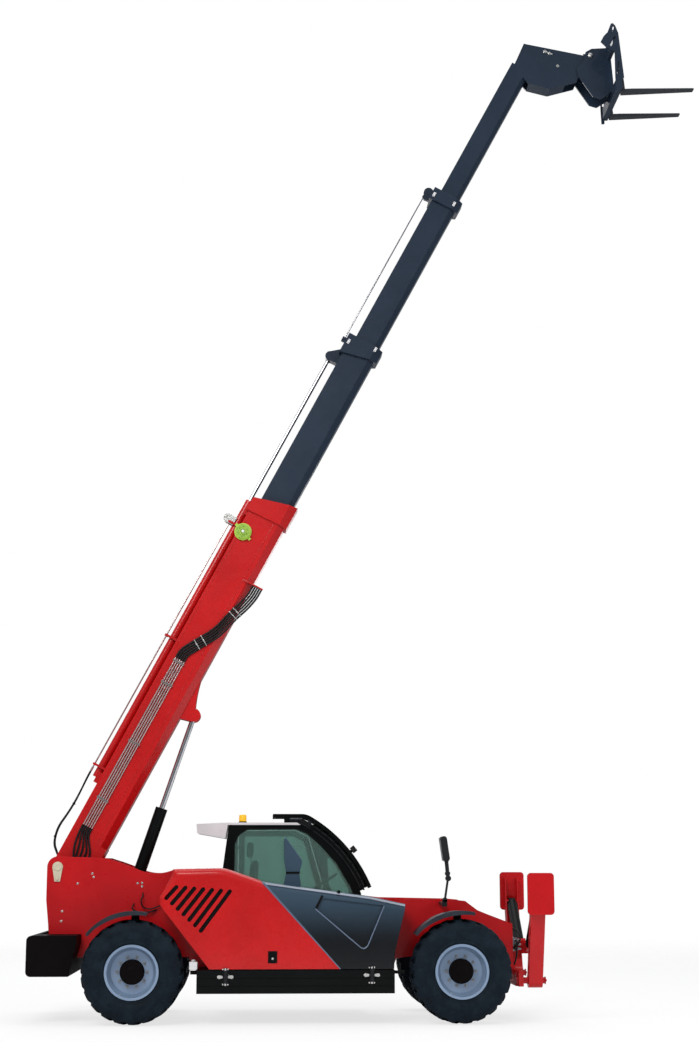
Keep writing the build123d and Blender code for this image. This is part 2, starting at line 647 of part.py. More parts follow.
with BuildPart() as boom_pipes:
    for row in range(pipe_count):
        boom_rod(pipe_rear_s, pipe_front_s, pipe_row_n - pipe_pitch * row, -pipe_row_y, pipe_radius)
    # clamps that hold the row on the boom's side
    clamp_depth = pipe_row_y + pipe_radius + 6 - outer.width / 2 - seat_gap
    for clamp_s in pipe_clamps:
        with BuildSketch(boom_cross(clamp_s)) as clamp:
            with Locations((-outer.width / 2 - seat_gap - clamp_depth / 2, row_middle_n)):
                Rectangle(clamp_depth, pipe_pitch * pipe_count + 10)
        extrude(clamp.sketch, amount=clamp_length)
    # the pair of pipes over the telescope cylinder, with the fittings at their rear ends
    for pipe_y in (-top_pipe_y, top_pipe_y):
        boom_rod(top_pipe_rear_s, top_pipe_front_s, top_pipe_n, pipe_y, top_pipe_radius)
        boom_rod(top_pipe_rear_s - fitting_length, top_pipe_rear_s, top_pipe_n, pipe_y, fitting_radius)
keep(boom_pipes, "boom_pipes")

with BuildPart() as boom_hoses:
    for row in range(pipe_count):
        # forward of the pipes, in a flat bundle to the bracket under the boom
        bundle = beside(bundle_route, pipe_pitch * ((pipe_count - 1) / 2 - row))
        tube_along([boom_point(s, n, -pipe_row_y) for s, n in bundle], hose_radius)
        # behind them, fanned out and turned in to the boom's foot tube
        row_n = pipe_row_n - pipe_pitch * row
        end_angle = -30 - 10 * row
        tube_along([boom_point(s, n, -pipe_row_y) for s, n in (
            (pipe_rear_s - seat_gap, row_n), (470, row_n), (300 - 12 * row, -22 - 62 * row),
            polar(180, end_angle), polar(foot_tube_radius + 2 * seat_gap, end_angle))], hose_radius)
keep(boom_hoses, "boom_hoses")

# the two hoses that hang between the fittings and the boom's foot tube: length and height points
# along the boom, at top_pipe_y either side of the centreline
cord_radius = 11
cord_start_s = top_pipe_rear_s - fitting_length - seat_gap
cord_routes = {
    "hose_rear_left": ((cord_start_s, 252), (1045, 252), (880, 243), (700, 240), (540, 252), (400, 270),
                       (280, 250), (180, 210), (117, 136), (60.5, 64.9)),
    "hose_rear_right": ((cord_start_s, 252), (1050, 252), (890, 240), (710, 234), (550, 244), (410, 260),
                        (290, 244), (190, 204), (126, 134), (64, 61.5)),
}
for (cord_name, cord_points), cord_y in zip(cord_routes.items(), (top_pipe_y, -top_pipe_y)):
    with BuildPart() as rear_hose:
        cord_radii = tube_along([boom_point(s, n, cord_y) for s, n in cord_points], cord_radius)
    print(cord_name, "arcs", [round(radius) for radius in cord_radii])
    keep(rear_hose, cord_name)

# reel of the cable that measures how far the boom is out: steps of the drum as radius and reach
reel_s, reel_n, reel_radius = 4494, 30, 104
reel_steps = ((reel_radius, 30), (reel_radius - 14, 52), (reel_radius - 62, 66))
with BuildPart() as cable_reel:
    reel_plane = boom_side(-outer.width / 2 - seat_gap)
    for radius, reach in reel_steps:
        with BuildSketch(reel_plane) as disc:
            with Locations((reel_s, reel_n)):
                Circle(radius)
        extrude(disc.sketch, amount=reach)
    fillet(cable_reel.edges().filter_by(GeomType.CIRCLE).group_by(Axis.Y)[0], 4)
    for turn in (70, 250):
        with BuildSketch(reel_plane) as reel_lug:
            x, n = polar(reel_radius + 6, turn)
            with Locations(Location((reel_s + x, reel_n + n), turn)):
                Rectangle(40, 34)
        extrude(reel_lug.sketch, amount=22)
keep(cable_reel, "cable_reel")

with BuildPart() as boom_second:
    section_tube(second)
    with BuildSketch(boom_side(70)) as rod_lug:
        with Locations((telescope_lug_s + 60, telescope_n)):
            Circle(60)
        Polygon((telescope_lug_s + 10, second.top), (telescope_lug_s + 190, second.top),
                (telescope_lug_s + 190, second.top + 60), (telescope_lug_s + 110, telescope_n + 30),
                (telescope_lug_s + 10, telescope_n), align=None)
    extrude(rod_lug.sketch, amount=140)
    section_hollow(second)
    boom_rod(telescope_lug_s - 1, telescope_lug_s + 91, telescope_n, 0, telescope_rod_radius + seat_gap,
             Mode.SUBTRACT)
    guide_pads(second, third, second.front - 20 - pad_length)
    rear_pads(second, outer, second.rear + 20)
    boom_block(second.front - 60, second.front, second.top + second.collar_rise, upper_rod_n + 26,
               upper_rod_y - 28, upper_rod_y + 28)
    boom_rod(second.front - 61, second.front + 1, upper_rod_n, upper_rod_y, upper_rod_radius + running_gap,
             Mode.SUBTRACT)
keep(boom_second, "boom_second")

third_lug_s = third.front - 10
with BuildPart() as boom_third:
    section_tube(third)
    with BuildSketch(boom_side(upper_rod_y + 26)) as rod_knob:
        with Locations((third_lug_s, upper_rod_n - 34)):
            Circle(62)
        Polygon((third.front - 110, third.top + 10), (third_lug_s + 40, third.top + 10),
                (third_lug_s + 60, upper_rod_n - 40), (third_lug_s, upper_rod_n),
                (third.front - 100, upper_rod_n + 14), (third.front - 120, upper_rod_n - 20), align=None)
    extrude(rod_knob.sketch, amount=52)
    section_hollow(third)
    boom_rod(third.front - 130, third.front + 1, upper_rod_n, upper_rod_y, upper_rod_radius + seat_gap,
             Mode.SUBTRACT)
    guide_pads(third, fourth, third.front - 20 - pad_length)
    rear_pads(third, second, third.rear + 20)
keep(boom_third, "boom_third")

with BuildPart() as upper_rod:
    boom_rod(second.front - 70, third.front, upper_rod_n, upper_rod_y, upper_rod_radius)
keep(upper_rod, "upper_rod")

# ---------------------------------------------------------------- boom head, fork carriage and forks
carriage_pin = Vector(*boom_point(carriage_s, carriage_n))
pin_x, pin_z = carriage_pin.X - rear_axle_x, carriage_pin.Z
head_half_width = fourth.width / 2
head_plate = 25
tilt_base = (pin_x - 845, pin_z - 97)
tilt_lug = (pin_x - 85, pin_z - 156)
tilt_barrel_radius, tilt_rod_radius = 45, 24
tilt_barrel_length, tilt_piston_start, tilt_wall = 560, 262, 8
tilt_pin_radius = 24

with BuildPart() as boom_fourth:
    section_tube(fourth)
    section_hollow(fourth)
    rear_pads(fourth, third, fourth.rear + 20)
    for plate_y in (head_half_width, head_plate - head_half_width):
        with BuildSketch(side_plane(plate_y)):
            with BuildLine():
                Polyline((pin_x - 61, pin_z - 57), (pin_x - 183, pin_z - 357), (pin_x - 530, pin_z - 456),
                         (pin_x - 801, pin_z - 390), (pin_x - 990, pin_z - 164), (pin_x - 849, pin_z + 158),
                         (pin_x - 61, pin_z + 10), close=True)
            make_face()
            with Locations((pin_x, pin_z)):
                Circle(66)
            with Locations((pin_x - 40, pin_z - 10)):
                Rectangle(90, 90)
        extrude(amount=head_plate)
    # back, top and bottom plates of the head
    with BuildSketch(side_plane(head_half_width)):
        with BuildLine():
            Polyline((pin_x - 990, pin_z - 164), (pin_x - 849, pin_z + 158), (pin_x - 170, pin_z + 30),
                     (pin_x - 174, pin_z + 10), (pin_x - 837, pin_z + 134), (pin_x - 968, pin_z - 166),
                     close=True)
        make_face()
        with BuildLine():
            Polyline((pin_x - 530, pin_z - 456), (pin_x - 801, pin_z - 390), (pin_x - 801, pin_z - 369),
                     (pin_x - 530, pin_z - 435), (pin_x - 330, pin_z - 378), (pin_x - 330, pin_z - 399),
                     close=True)
        make_face()
    extrude(amount=2 * head_half_width)
    with Locations(at(tilt_base[0], 0, tilt_base[1])):
        Cylinder(tilt_pin_radius, 2 * head_half_width - 2, rotation=(90, 0, 0))
    with BuildSketch(side_plane(head_half_width + 40)):
        with Locations((pin_x, pin_z)):
            Circle(carriage_pin_radius + running_gap)
    extrude(amount=2 * head_half_width + 80, mode=Mode.SUBTRACT)
keep(boom_fourth, "boom_fourth")

ear_y = head_half_width + swing_gap
ear_plate, carriage_plate, lever_plate = 24, 22, 24
frame_top = (pin_x + 255, pin_z + 170)           # shaft that the forks hang from
shaft_radius = 28
fork_width, fork_thickness = 100, 45
fork_heel = (5904, 11370)
fork_rise, fork_lean = 4.0, 95.7                 # blade and shank angles from level
fork_blade = (fork_reach_x - fork_heel[0]) / cos(radians(fork_rise))


def shank_x(z):
    """How far forward the back of a fork's shank lies at a height."""
    return fork_heel[0] + (z - fork_heel[1]) / tan(radians(fork_lean))


# slots in the carriage's outer plates: place from the pin, turn, length and width
carriage_slots = ((228, 182, 80, 110, 16), (226, 30, 64, 150, 24), (284, -330, 85, 170, 22))

with BuildPart() as carriage:
    for plate_y in (ear_y + ear_plate, -ear_y):
        with BuildSketch(side_plane(plate_y)):
            with BuildLine():
                Polyline((pin_x - 60, pin_z + 48), (pin_x + 20, pin_z + 95), (pin_x + 225, pin_z + 110),
                         (pin_x + 262, pin_z + 60), (pin_x + 300, pin_z - 470), (pin_x + 120, pin_z - 590),
                         (pin_x + 20, pin_z - 560), (pin_x - 165, pin_z - 280), (pin_x - 175, pin_z - 190),
                         (pin_x - 80, pin_z - 60), close=True)
            make_face()
            fillet(vertices().filter_by_position(Axis.Z, 0, pin_z - 100), 24)
        extrude(amount=ear_plate)
    for plate_y in (carriage_half_width, carriage_plate - carriage_half_width):
        with BuildSketch(side_plane(plate_y)):
            with BuildLine():
                Polyline((pin_x + 205, pin_z + 268), (pin_x + 232, pin_z + 274), (pin_x + 262, pin_z + 240),
                         (pin_x + 298, pin_z + 138), (pin_x + 356, pin_z - 459), (pin_x + 318, pin_z - 500),
                         (pin_x + 296, pin_z - 480), (pin_x + 292, pin_z - 650), (pin_x + 254, pin_z - 653),
                         (pin_x + 246, pin_z - 460), (pin_x + 246, pin_z - 120), (pin_x + 150, pin_z - 60),
                         (pin_x + 70, pin_z + 20), (pin_x + 110, pin_z + 96), (pin_x + 160, pin_z + 150),
                         close=True)
            make_face()
            fillet(vertices().filter_by(lambda v: v.Z > pin_z + 200), 12)
            for slot_x, slot_z, slot_turn, slot_length, slot_width in carriage_slots:
                with Locations(Location((pin_x + slot_x, pin_z + slot_z), slot_turn)):
                    SlotOverall(slot_length, slot_width, mode=Mode.SUBTRACT)
        extrude(amount=carriage_plate)
    # shaft for the forks, upper and lower cross bars
    with Locations(at(frame_top[0], 0, frame_top[1])):
        Cylinder(shaft_radius, 2 * carriage_half_width, rotation=(90, 0, 0))
    block(pin_x + 222, pin_x + 266, -carriage_half_width, carriage_half_width, pin_z - 60, pin_z + 54)
    # the lower bar leans with the fork shanks, which rest against it
    with BuildSketch(side_plane(carriage_half_width)):
        Polygon((pin_x + 262, pin_z - 600), (shank_x(pin_z - 600) - seat_gap, pin_z - 600),
                (shank_x(pin_z - 460) - seat_gap, pin_z - 460), (pin_x + 262, pin_z - 460), align=None)
    extrude(amount=2 * carriage_half_width)
    # pin through the boom head, and the lever that the tilt cylinder works
    with Locations(at(pin_x, 0, pin_z)):
        Cylinder(carriage_pin_radius, 2 * (ear_y + ear_plate) + 24, rotation=(90, 0, 0))
        Cylinder(52, 2 * (head_half_width - head_plate - swing_gap), rotation=(90, 0, 0))
    for lever_y in (34 + lever_plate, -34):
        with BuildSketch(side_plane(lever_y)):
            with BuildLine():
                Polyline((pin_x + 46, pin_z - 24), (tilt_lug[0] + 40, tilt_lug[1] - 20))
                ThreePointArc((tilt_lug[0] + 40, tilt_lug[1] - 20), (tilt_lug[0] - 20, tilt_lug[1] - 40),
                              (tilt_lug[0] - 40, tilt_lug[1] + 20))
                Polyline((tilt_lug[0] - 40, tilt_lug[1] + 20), (pin_x - 46, pin_z + 24),
                         (pin_x + 46, pin_z - 24))
            make_face()
        extrude(amount=lever_plate)
keep(carriage, "fork_carriage")

with BuildPart() as forks:
    for fork_y in (-fork_spacing / 2, fork_spacing / 2):
        heel = Vector(*fork_heel)
        blade = Vector(cos(radians(fork_rise)), sin(radians(fork_rise)))
        shank = Vector(cos(radians(fork_lean)), sin(radians(fork_lean)))
        shank_length = (frame_top[1] - fork_heel[1]) / shank.Y
        tip = heel + blade * fork_blade
        with BuildSketch(side_plane(fork_y + fork_width / 2)):
            with BuildLine():
                Polyline(heel, tip, tip + Vector(-12, 12), heel + blade * (fork_thickness + 90)
                         + shank * fork_thickness, heel + (blade + shank) * fork_thickness,
                         heel + blade * fork_thickness + shank * shank_length,
                         heel + shank * shank_length, close=True)
            make_face()
            with Locations(frame_top):
                Circle(shaft_radius + 26)
                Circle(shaft_radius + seat_gap, mode=Mode.SUBTRACT)
        extrude(amount=fork_width)
keep(forks, "forks")


# ---------------------------------------------------------------- cylinders
def eye(centre, along_axis, radius, width, bore):
    """A cylinder's eye: a short tube whose axis lies along X or Y."""
    turn = (0, 90, 0) if along_axis == "X" else (90, 0, 0)
    with Locations(centre):
        Cylinder(radius, width, rotation=turn)
        Cylinder(bore, width + 2, rotation=turn, mode=Mode.SUBTRACT)


def cylinder_barrel(base, tip, length, radius, wall, rod_radius, pin_axis, eye_width, bore, end_wall=60):
    """The barrel from its base eye towards the tip, bored for its rod."""
    base, tip = Vector(*base), Vector(*tip)
    along = (tip - base).normalized()
    rod_between(base + along * (bore + 4), base + along * length, radius)
    rod_between(base + along * (bore + end_wall), base + along * (length - end_wall), radius - wall,
                Mode.SUBTRACT)
    rod_between(base + along * (length - end_wall - 1), base + along * (length + 1), rod_radius + running_gap,
                Mode.SUBTRACT)
    eye(base, pin_axis, bore + 22, eye_width, bore)


def cylinder_rod(base, tip, start, barrel_radius, wall, rod_radius, pin_axis, eye_width, bore, piston=40):
    """The rod from its piston, that far from the barrel's base, to the eye at the tip."""
    base, tip = Vector(*base), Vector(*tip)
    along = (tip - base).normalized()
    rod_between(base + along * start, tip - along * (bore + 4), rod_radius)
    rod_between(base + along * start, base + along * (start + piston), barrel_radius - wall - seat_gap)
    eye(tip, pin_axis, bore + 22, eye_width, bore)


lift_base = at(lift_base_x, 0, lift_base_z)
lift_tip = boom_point(lift_lug_s, lift_lug_n)
with BuildPart() as lift_barrel:
    cylinder_barrel(lift_base, lift_tip, lift_barrel_length, lift_barrel_radius, lift_wall, lift_rod_radius,
                    "Y", 2 * lift_ear_y - 2, lift_pin_radius + running_gap)
keep(lift_barrel, "lift_barrel")

with BuildPart() as lift_rod:
    cylinder_rod(lift_base, lift_tip, lift_piston_start, lift_barrel_radius, lift_wall, lift_rod_radius, "Y",
                 lug_gap - 2, 36)
keep(lift_rod, "lift_rod")

tilt_base_point, tilt_tip_point = at(tilt_base[0], 0, tilt_base[1]), at(tilt_lug[0], 0, tilt_lug[1])
with BuildPart() as tilt_barrel:
    cylinder_barrel(tilt_base_point, tilt_tip_point, tilt_barrel_length, tilt_barrel_radius, tilt_wall,
                    tilt_rod_radius, "Y", 60, tilt_pin_radius + running_gap)
keep(tilt_barrel, "tilt_barrel")

with BuildPart() as tilt_rod:
    cylinder_rod(tilt_base_point, tilt_tip_point, tilt_piston_start, tilt_barrel_radius, tilt_wall,
                 tilt_rod_radius, "Y", 64, 22)
keep(tilt_rod, "tilt_rod")

# ---------------------------------------------------------------- stabilisers
arm_width, arm_depth, arm_wall = 159, 150, 12
lean = radians(stabiliser_lean)
pad_thickness, pad_width, pad_height = 40, 299, 462
pad_z = stabiliser_pivot_z + stabiliser_length * sin(lean)
pad_y = stabiliser_pivot_y + stabiliser_length * cos(lean)
ram_radius, ram_rod_radius, ram_wall = 60, 28, 7
ram_barrel_length, ram_piston_start = 735, 62

for side_name, side in side_table:
    with BuildPart() as stabiliser:
        with BuildSketch(front_plane(stabiliser_x - arm_width / 2)):
            across = Vector(cos(lean), sin(lean))
            square = Vector(sin(lean), -cos(lean))
            foot = Vector(stabiliser_pivot_y, stabiliser_pivot_z)
            top = foot + across * (stabiliser_length - 130)
            corners = (foot + square * 78, top + square * 62, Vector(pad_y + 12, pad_z - 60),
                       Vector(pad_y + 12, pad_z + 150), Vector(pad_y - 90, pad_z + 150), top - square * 88,
                       foot - square * 60)
            with BuildLine():
                Polyline(*[(side * corner.X, corner.Y) for corner in corners], close=True)
            make_face()
            with Locations((side * foot.X, foot.Y)):
                Circle(80)
        extrude(amount=arm_width)
        # open channel on the inboard side, which the ram lies in
        with BuildSketch(front_plane(stabiliser_x - arm_width / 2 + arm_wall)):
            low = foot + across * 150
            corners = (low + square * 46, top + square * 46, Vector(pad_y - 20, pad_z - 60),
                       Vector(pad_y - 20, pad_z + 200), Vector(pad_y - 400, pad_z + 200), low - square * 300)
            with BuildLine():
                Polyline(*[(side * corner.X, corner.Y) for corner in corners], close=True)
            make_face()
        extrude(amount=arm_width - 2 * arm_wall, mode=Mode.SUBTRACT)
        with Locations(at(stabiliser_x, side * stabiliser_pivot_y, stabiliser_pivot_z)):
            Cylinder(stabiliser_pin_radius + running_gap, arm_width + 2, rotation=(0, 90, 0),
                     mode=Mode.SUBTRACT)
        with Locations(at(stabiliser_x, side * ram_pin_y, ram_pin_z)):
            Cylinder(ram_pin_radius, arm_width - 2, rotation=(0, 90, 0))
        # ground pad
        with BuildSketch(side_plane(side * (pad_y + 12) + (pad_thickness if side > 0 else 0))):
            with Locations((stabiliser_x + 22, pad_z - 4)):
                RectangleRounded(pad_width, pad_height, 42)
        extrude(amount=pad_thickness)
    keep(stabiliser, f"stabiliser_{side_name}")

    ram_base = at(stabiliser_x, side * ram_pin_y, ram_pin_z)
    ram_tip = at(stabiliser_x, side * ram_anchor_y, ram_anchor_z)
    with BuildPart() as ram_barrel:
        cylinder_barrel(ram_base, ram_tip, ram_barrel_length, ram_radius, ram_wall, ram_rod_radius, "X", 80,
                        ram_pin_radius + running_gap, 30)
    keep(ram_barrel, f"stabiliser_barrel_{side_name}")

    with BuildPart() as ram_rod:
        cylinder_rod(ram_base, ram_tip, ram_piston_start, ram_radius, ram_wall, ram_rod_radius, "X", 60, 22,
                     24)
    keep(ram_rod, f"stabiliser_rod_{side_name}")

# ---------------------------------------------------------------- cab
cab_rear_x, cab_front_x = 940, 2700
cab_top_z, roof_top_z = 2211, 2240
screen_centre, screen_radius = (1150, 811), 1588    # the windscreen is rolled about this point
screen_top_angle, screen_foot_angle = 61.8, 21.8
sill_z = 1300
glass_inset, glass_thickness = 12, 6
pillar = 70                                         # width of the pillars beside the windscreen
door_rear_x, door_front_x = 1130, 2180
door_corners = ((door_rear_x, 800), (door_rear_x, 2160), (1840, 2165), (2010, 2080), (door_front_x, 1500),
                (door_front_x, 1000), (2060, 800))
door_window = ((door_rear_x + 75, sill_z), (door_rear_x + 75, 2088), (1815, 2092), (1950, 2025),
               (door_front_x - 75, 1490), (door_front_x - 75, sill_z))
right_window = ((1085, sill_z + 60), (1092, 1990), (1150, 2105), (1250, 2163), (1845, 2166), (1966, 2120),
                (2120, 1990), (2330, 1765), (2512, 1459), (2545, sill_z + 60))
left_light = ((2270, sill_z), (2240, 1850), (2345, 1730), (2500, 1440), (2535, sill_z))
hinge_pin_radius = 9
door_hinge_x, door_hinge_y = door_rear_x - 22, cab_left_y + 24
door_hinge_heights = (1050, 1950)


def screen_point(radius, angle):
    x, z = polar(radius, angle)
    return (screen_centre[0] + x, screen_centre[1] + z)


def screen_arc(radius, start, end):
    """In a sketch of the side, an arc that runs with the windscreen."""
    return ThreePointArc(*[screen_point(radius, angle) for angle in (start, (start + end) / 2, end)])


def cab_profile(inset):
    """The cab's side outline, drawn in by a wall's thickness."""
    with BuildSketch(Plane.XY) as outline:
        with BuildLine():
            arc = screen_arc(screen_radius, screen_top_angle, screen_foot_angle)
            Polyline(arc @ 1, (cab_front_x, cab_floor_z), (cab_rear_x, cab_floor_z), (958, 1706),
                     (1023, cab_top_z), arc @ 0)
        make_face()
        if inset:
            offset(amount=-inset, kind=Kind.INTERSECTION, mode=Mode.REPLACE)
    return outline.sketch


def cab_outline(corners, inset=0.0, radius=40):
    """A rounded window or door outline, drawn in by a gap."""
    with BuildSketch(Plane.XY) as outline:
        Polygon(*corners, align=None)
        fillet(outline.vertices(), radius)
        if inset:
            offset(amount=-inset, mode=Mode.REPLACE)
    return outline.sketch


def cab_prism(outline, y0, y1, mode=Mode.ADD):
    """A side outline as a solid between two distances from the centreline."""
    extrude(side_plane(y1) * outline, amount=y1 - y0, mode=mode)


wall_in, wall_out = cab_left_y - cab_wall, cab_left_y
screen_back_x, screen_low_z = 1990, sill_z - 50
rear_pane_low_z, rear_pane_top_z = 1450, 2110
with BuildPart() as cab_frame:
    cab_prism(cab_profile(0), cab_right_y, cab_left_y)
    cab_prism(cab_profile(cab_wall), cab_right_y + cab_wall, wall_in, Mode.SUBTRACT)
    cab_prism(cab_outline(right_window), cab_right_y - 1, cab_right_y + cab_wall + 1, Mode.SUBTRACT)
    cab_prism(cab_outline(left_light, radius=15), wall_in - 1, wall_out + 1, Mode.SUBTRACT)
    cab_prism(cab_outline(door_corners), wall_in - 1, wall_out + 1, Mode.SUBTRACT)
    # windscreen and rear window
    block(screen_back_x, cab_front_x + 20, cab_right_y + pillar, cab_left_y - pillar, screen_low_z,
          cab_top_z + 20, Mode.SUBTRACT)
    block(cab_rear_x - 20, 1080, cab_right_y + pillar, cab_left_y - pillar, rear_pane_low_z, rear_pane_top_z,
          Mode.SUBTRACT)
    for height in door_hinge_heights:
        block(door_hinge_x - 30, door_hinge_x + 8, cab_left_y, door_hinge_y + 8, height - 60, height - 32)
        with Locations(at(door_hinge_x, door_hinge_y, height - 12)):
            Cylinder(hinge_pin_radius, 96)
    for block_x in (1000, 2600):
        block(block_x, block_x + 80, plate_outer_y, cab_right_y, 1100, 1180)
keep(cab_frame, "cab_frame")

with BuildPart() as cab_roof:
    with BuildSketch(side_plane(cab_left_y - 4)):
        Polygon((632, 2222), (643, 2110), (985, 2050), (1010, cab_top_z + seat_gap),
                (1895, cab_top_z + seat_gap), (1850, roof_top_z), (1020, roof_top_z), align=None)
        fillet(vertices().group_by(Axis.X)[0:2], 14)
    extrude(amount=cab_left_y - cab_right_y - 8)
keep(cab_roof, "cab_roof")

with BuildPart() as cab_glass:
    cab_prism(cab_outline(right_window, seat_gap), cab_right_y + glass_inset,
              cab_right_y + glass_inset + glass_thickness)
    cab_prism(cab_outline(left_light, seat_gap, 15), wall_out - glass_inset - glass_thickness,
              wall_out - glass_inset)
    # windscreen and rear pane follow the cab's own outline
    for x0, x1, z0, z1 in ((screen_back_x, cab_front_x + 20, screen_low_z, cab_top_z + 20),
                           (cab_rear_x - 20, 1080, rear_pane_low_z, rear_pane_top_z)):
        with BuildSketch(Plane.XY) as pane:
            add(cab_profile(glass_inset))
            add(cab_profile(glass_inset + glass_thickness), mode=Mode.SUBTRACT)
            with Locations(((x0 + x1) / 2, (z0 + z1) / 2)):
                Rectangle(x1 - x0 - 2 * seat_gap, z1 - z0 - 2 * seat_gap, mode=Mode.INTERSECT)
        cab_prism(pane.sketch, cab_right_y + pillar + seat_gap, cab_left_y - pillar - seat_gap)
keep(cab_glass, "cab_glass")

with BuildPart() as cab_door:
    cab_prism(cab_outline(door_corners, swing_gap), wall_in, wall_out)
    cab_prism(cab_outline(door_window), wall_in - 1, wall_out + 1, Mode.SUBTRACT)
    for height in door_hinge_heights:
        block(door_hinge_x, door_rear_x + 50, door_hinge_y - 10, door_hinge_y + 6, height - 25, height + 25)
        block(door_rear_x + 20, door_rear_x + 50, cab_left_y - 1, door_hinge_y, height - 25, height + 25)
        with Locations(at(door_hinge_x, door_hinge_y, height)):
            Cylinder(17, 50)
            Cylinder(hinge_pin_radius + running_gap, 52, mode=Mode.SUBTRACT)
    # handle
    block(door_front_x - 190, door_front_x - 60, wall_out, wall_out + 12, 1180, 1215)
keep(cab_door, "cab_door")

with BuildPart() as door_glass:
    cab_prism(cab_outline(door_window, seat_gap), wall_out - glass_inset - glass_thickness,
              wall_out - glass_inset)
keep(door_glass, "door_glass")

inside_floor_z = cab_floor_z + cab_wall
seat_y = (cab_right_y + cab_left_y) / 2
with BuildPart() as seat:
    block(1380, 1700, seat_y - 170, seat_y + 170, inside_floor_z, 1150)
    with BuildSketch(side_plane(seat_y + 240)):
        with Locations((1540, 1210)):
            RectangleRounded(500, 120, 28)
    extrude(amount=480)
    with BuildSketch(side_plane(seat_y + 220)) as seat_back:
        Polygon((1290, 1240), (1400, 1240), (1330, 1830), (1310, 2010), (1240, 2010), (1225, 1830),
                align=None)
        fillet(seat_back.vertices().filter_by(lambda v: v.Y > 1300), 20)
    extrude(amount=440)
keep(seat, "seat")

with BuildPart() as dashboard:
    with BuildSketch(side_plane(cab_left_y - 200)):
        with BuildLine():
            Polyline((2420, inside_floor_z), (2590, inside_floor_z), (2590, 1180), (2530, 1330), (2330, 1290),
                     (2330, 1200), (2420, 1150), close=True)
        make_face()
    extrude(amount=cab_left_y - cab_right_y - 300)
    column_foot, column_top = at(2400, seat_y, 1200), at(2200, seat_y, 1520)
    rod_between(column_foot, column_top, 26)
    column = (Vector(*column_top) - Vector(*column_foot)).normalized()
    with BuildSketch(Plane(origin=column_top, z_dir=column)):
        Circle(190)
        Circle(162, mode=Mode.SUBTRACT)
        Rectangle(340, 34)
    extrude(amount=26)
    block(1500, 1980, cab_right_y + cab_wall, seat_y - 240 - swing_gap, inside_floor_z, 1330)
keep(dashboard, "dashboard")

# ---------------------------------------------------------------- guard over the roof and windscreen
guard_bar, guard_rail, guard_depth = 46, 18, 30
guard_radius, guard_rail_radius = screen_radius + 124, screen_radius + 50
guard_start, guard_top_z = 1557, 2321
guard_angles = (60.5, 22.5)                         # where the outer bar's arc begins and ends
guard_feet = (57, 23.5)
guard_rungs = 9


def rung_angle(rung):
    start, end = guard_feet
    return start + (end - start) * rung / guard_rungs


with BuildPart() as cab_guard:
    frame_rights = (cab_right_y + 30, cab_left_y - 30 - guard_depth)
    for frame_y in frame_rights:
        with BuildSketch(Plane.XY) as guard_side:
            with BuildLine():
                Line((guard_start, guard_top_z), (1900, guard_top_z))
                ThreePointArc((1900, guard_top_z), (1950, guard_top_z - 5),
                              screen_point(guard_radius, guard_angles[0]))
                screen_arc(guard_radius, *guard_angles)
            trace(line_width=guard_bar)
            with BuildLine():
                screen_arc(guard_rail_radius, guard_feet[0] + 1, guard_feet[1] - 1)
            trace(line_width=guard_rail)
            for rung in range(guard_rungs + 1):
                with BuildLine():
                    Line(screen_point(guard_radius, rung_angle(rung)),
                         screen_point(guard_rail_radius, rung_angle(rung)))
                trace(line_width=14)
            # feet down to the cab's front pillars
            for angle in guard_feet:
                with BuildLine():
                    Line(screen_point(guard_rail_radius, angle),
                         screen_point(screen_radius + seat_gap, angle))
                trace(line_width=36)
        cab_prism(guard_side.sketch, frame_y, frame_y + guard_depth)
        block(1700, 1760, frame_y, frame_y + guard_depth, roof_top_z, guard_top_z)
    for rung in range(guard_rungs + 1):
        x, z = screen_point(guard_radius, rung_angle(rung))
        rod_between(at(x, frame_rights[0] + 5, z), at(x, frame_rights[1] + 5, z), 11)
    rod_between(at(guard_start + 30, frame_rights[0] + 5, guard_top_z),
                at(guard_start + 30, frame_rights[1] + 5, guard_top_z), 14)
keep(cab_guard, "cab_guard")

beacon_x, beacon_y = 1187, 860
lamp_angle = 38.7                                   # of the work lamp round the windscreen's centre
with BuildPart() as lamps:
    for height, radius, reach in ((0, 52, 16), (16, 44, 72)):
        with Locations(at(beacon_x, beacon_y, roof_top_z + height + reach / 2)):
            Cylinder(radius, reach)
    with BuildSketch(Plane.XY) as lamp_box:
        for out, length, width in ((44, 66, 84), (10, 20, 40)):
            spot = screen_point(guard_radius + guard_bar / 2 + out, lamp_angle)
            with Locations(Location(spot, lamp_angle)):
                Rectangle(length, width)
    cab_prism(lamp_box.sketch, frame_rights[0] - 12, frame_rights[0] + 76)
keep(lamps, "lamps")

mirror_y = -800
with BuildPart() as rear_view_mirror:
    with BuildSketch(side_plane(mirror_y + 90)):
        with Locations(Location((3512, 1917), 8)):
            RectangleRounded(76, 284, 32)
    extrude(amount=180)
    rod_between(at(3532, mirror_y, 1800), at(3552, mirror_y, 1570), 22)
    rod_between(at(3552, mirror_y, 1600), at(3510, mirror_y, 1330), 13)
    block(3480, 3536, mirror_y - 30, mirror_y + 30, 1270, 1345)
    block(3480, 3536, mirror_y, -plate_outer_y, 1285, 1320)
keep(rear_view_mirror, "mirror")

# ---------------------------------------------------------------- hood over the engine, and its intake
hood_bottom_z = 600
hood_line = ((412, 1606), (287, 1381), (284, 1313), (854, hood_bottom_z), (2904, hood_bottom_z),
             (2914, 788), (3030, 1255), (3036, 1304), (2646, 1385), (1450, 1550), (1000, 1702), (437, 1692))
hood_split = ((1400, 1580), (2315, hood_bottom_z))  # where the red and the grey panels meet
hood_seam = 3
hood_bend_radius = 400                              # where the hood's top line changes slope
hood_pan = ((2113, 1370), (2797, 1290), (2605, 848), (2535, 826), (2024, 1256))


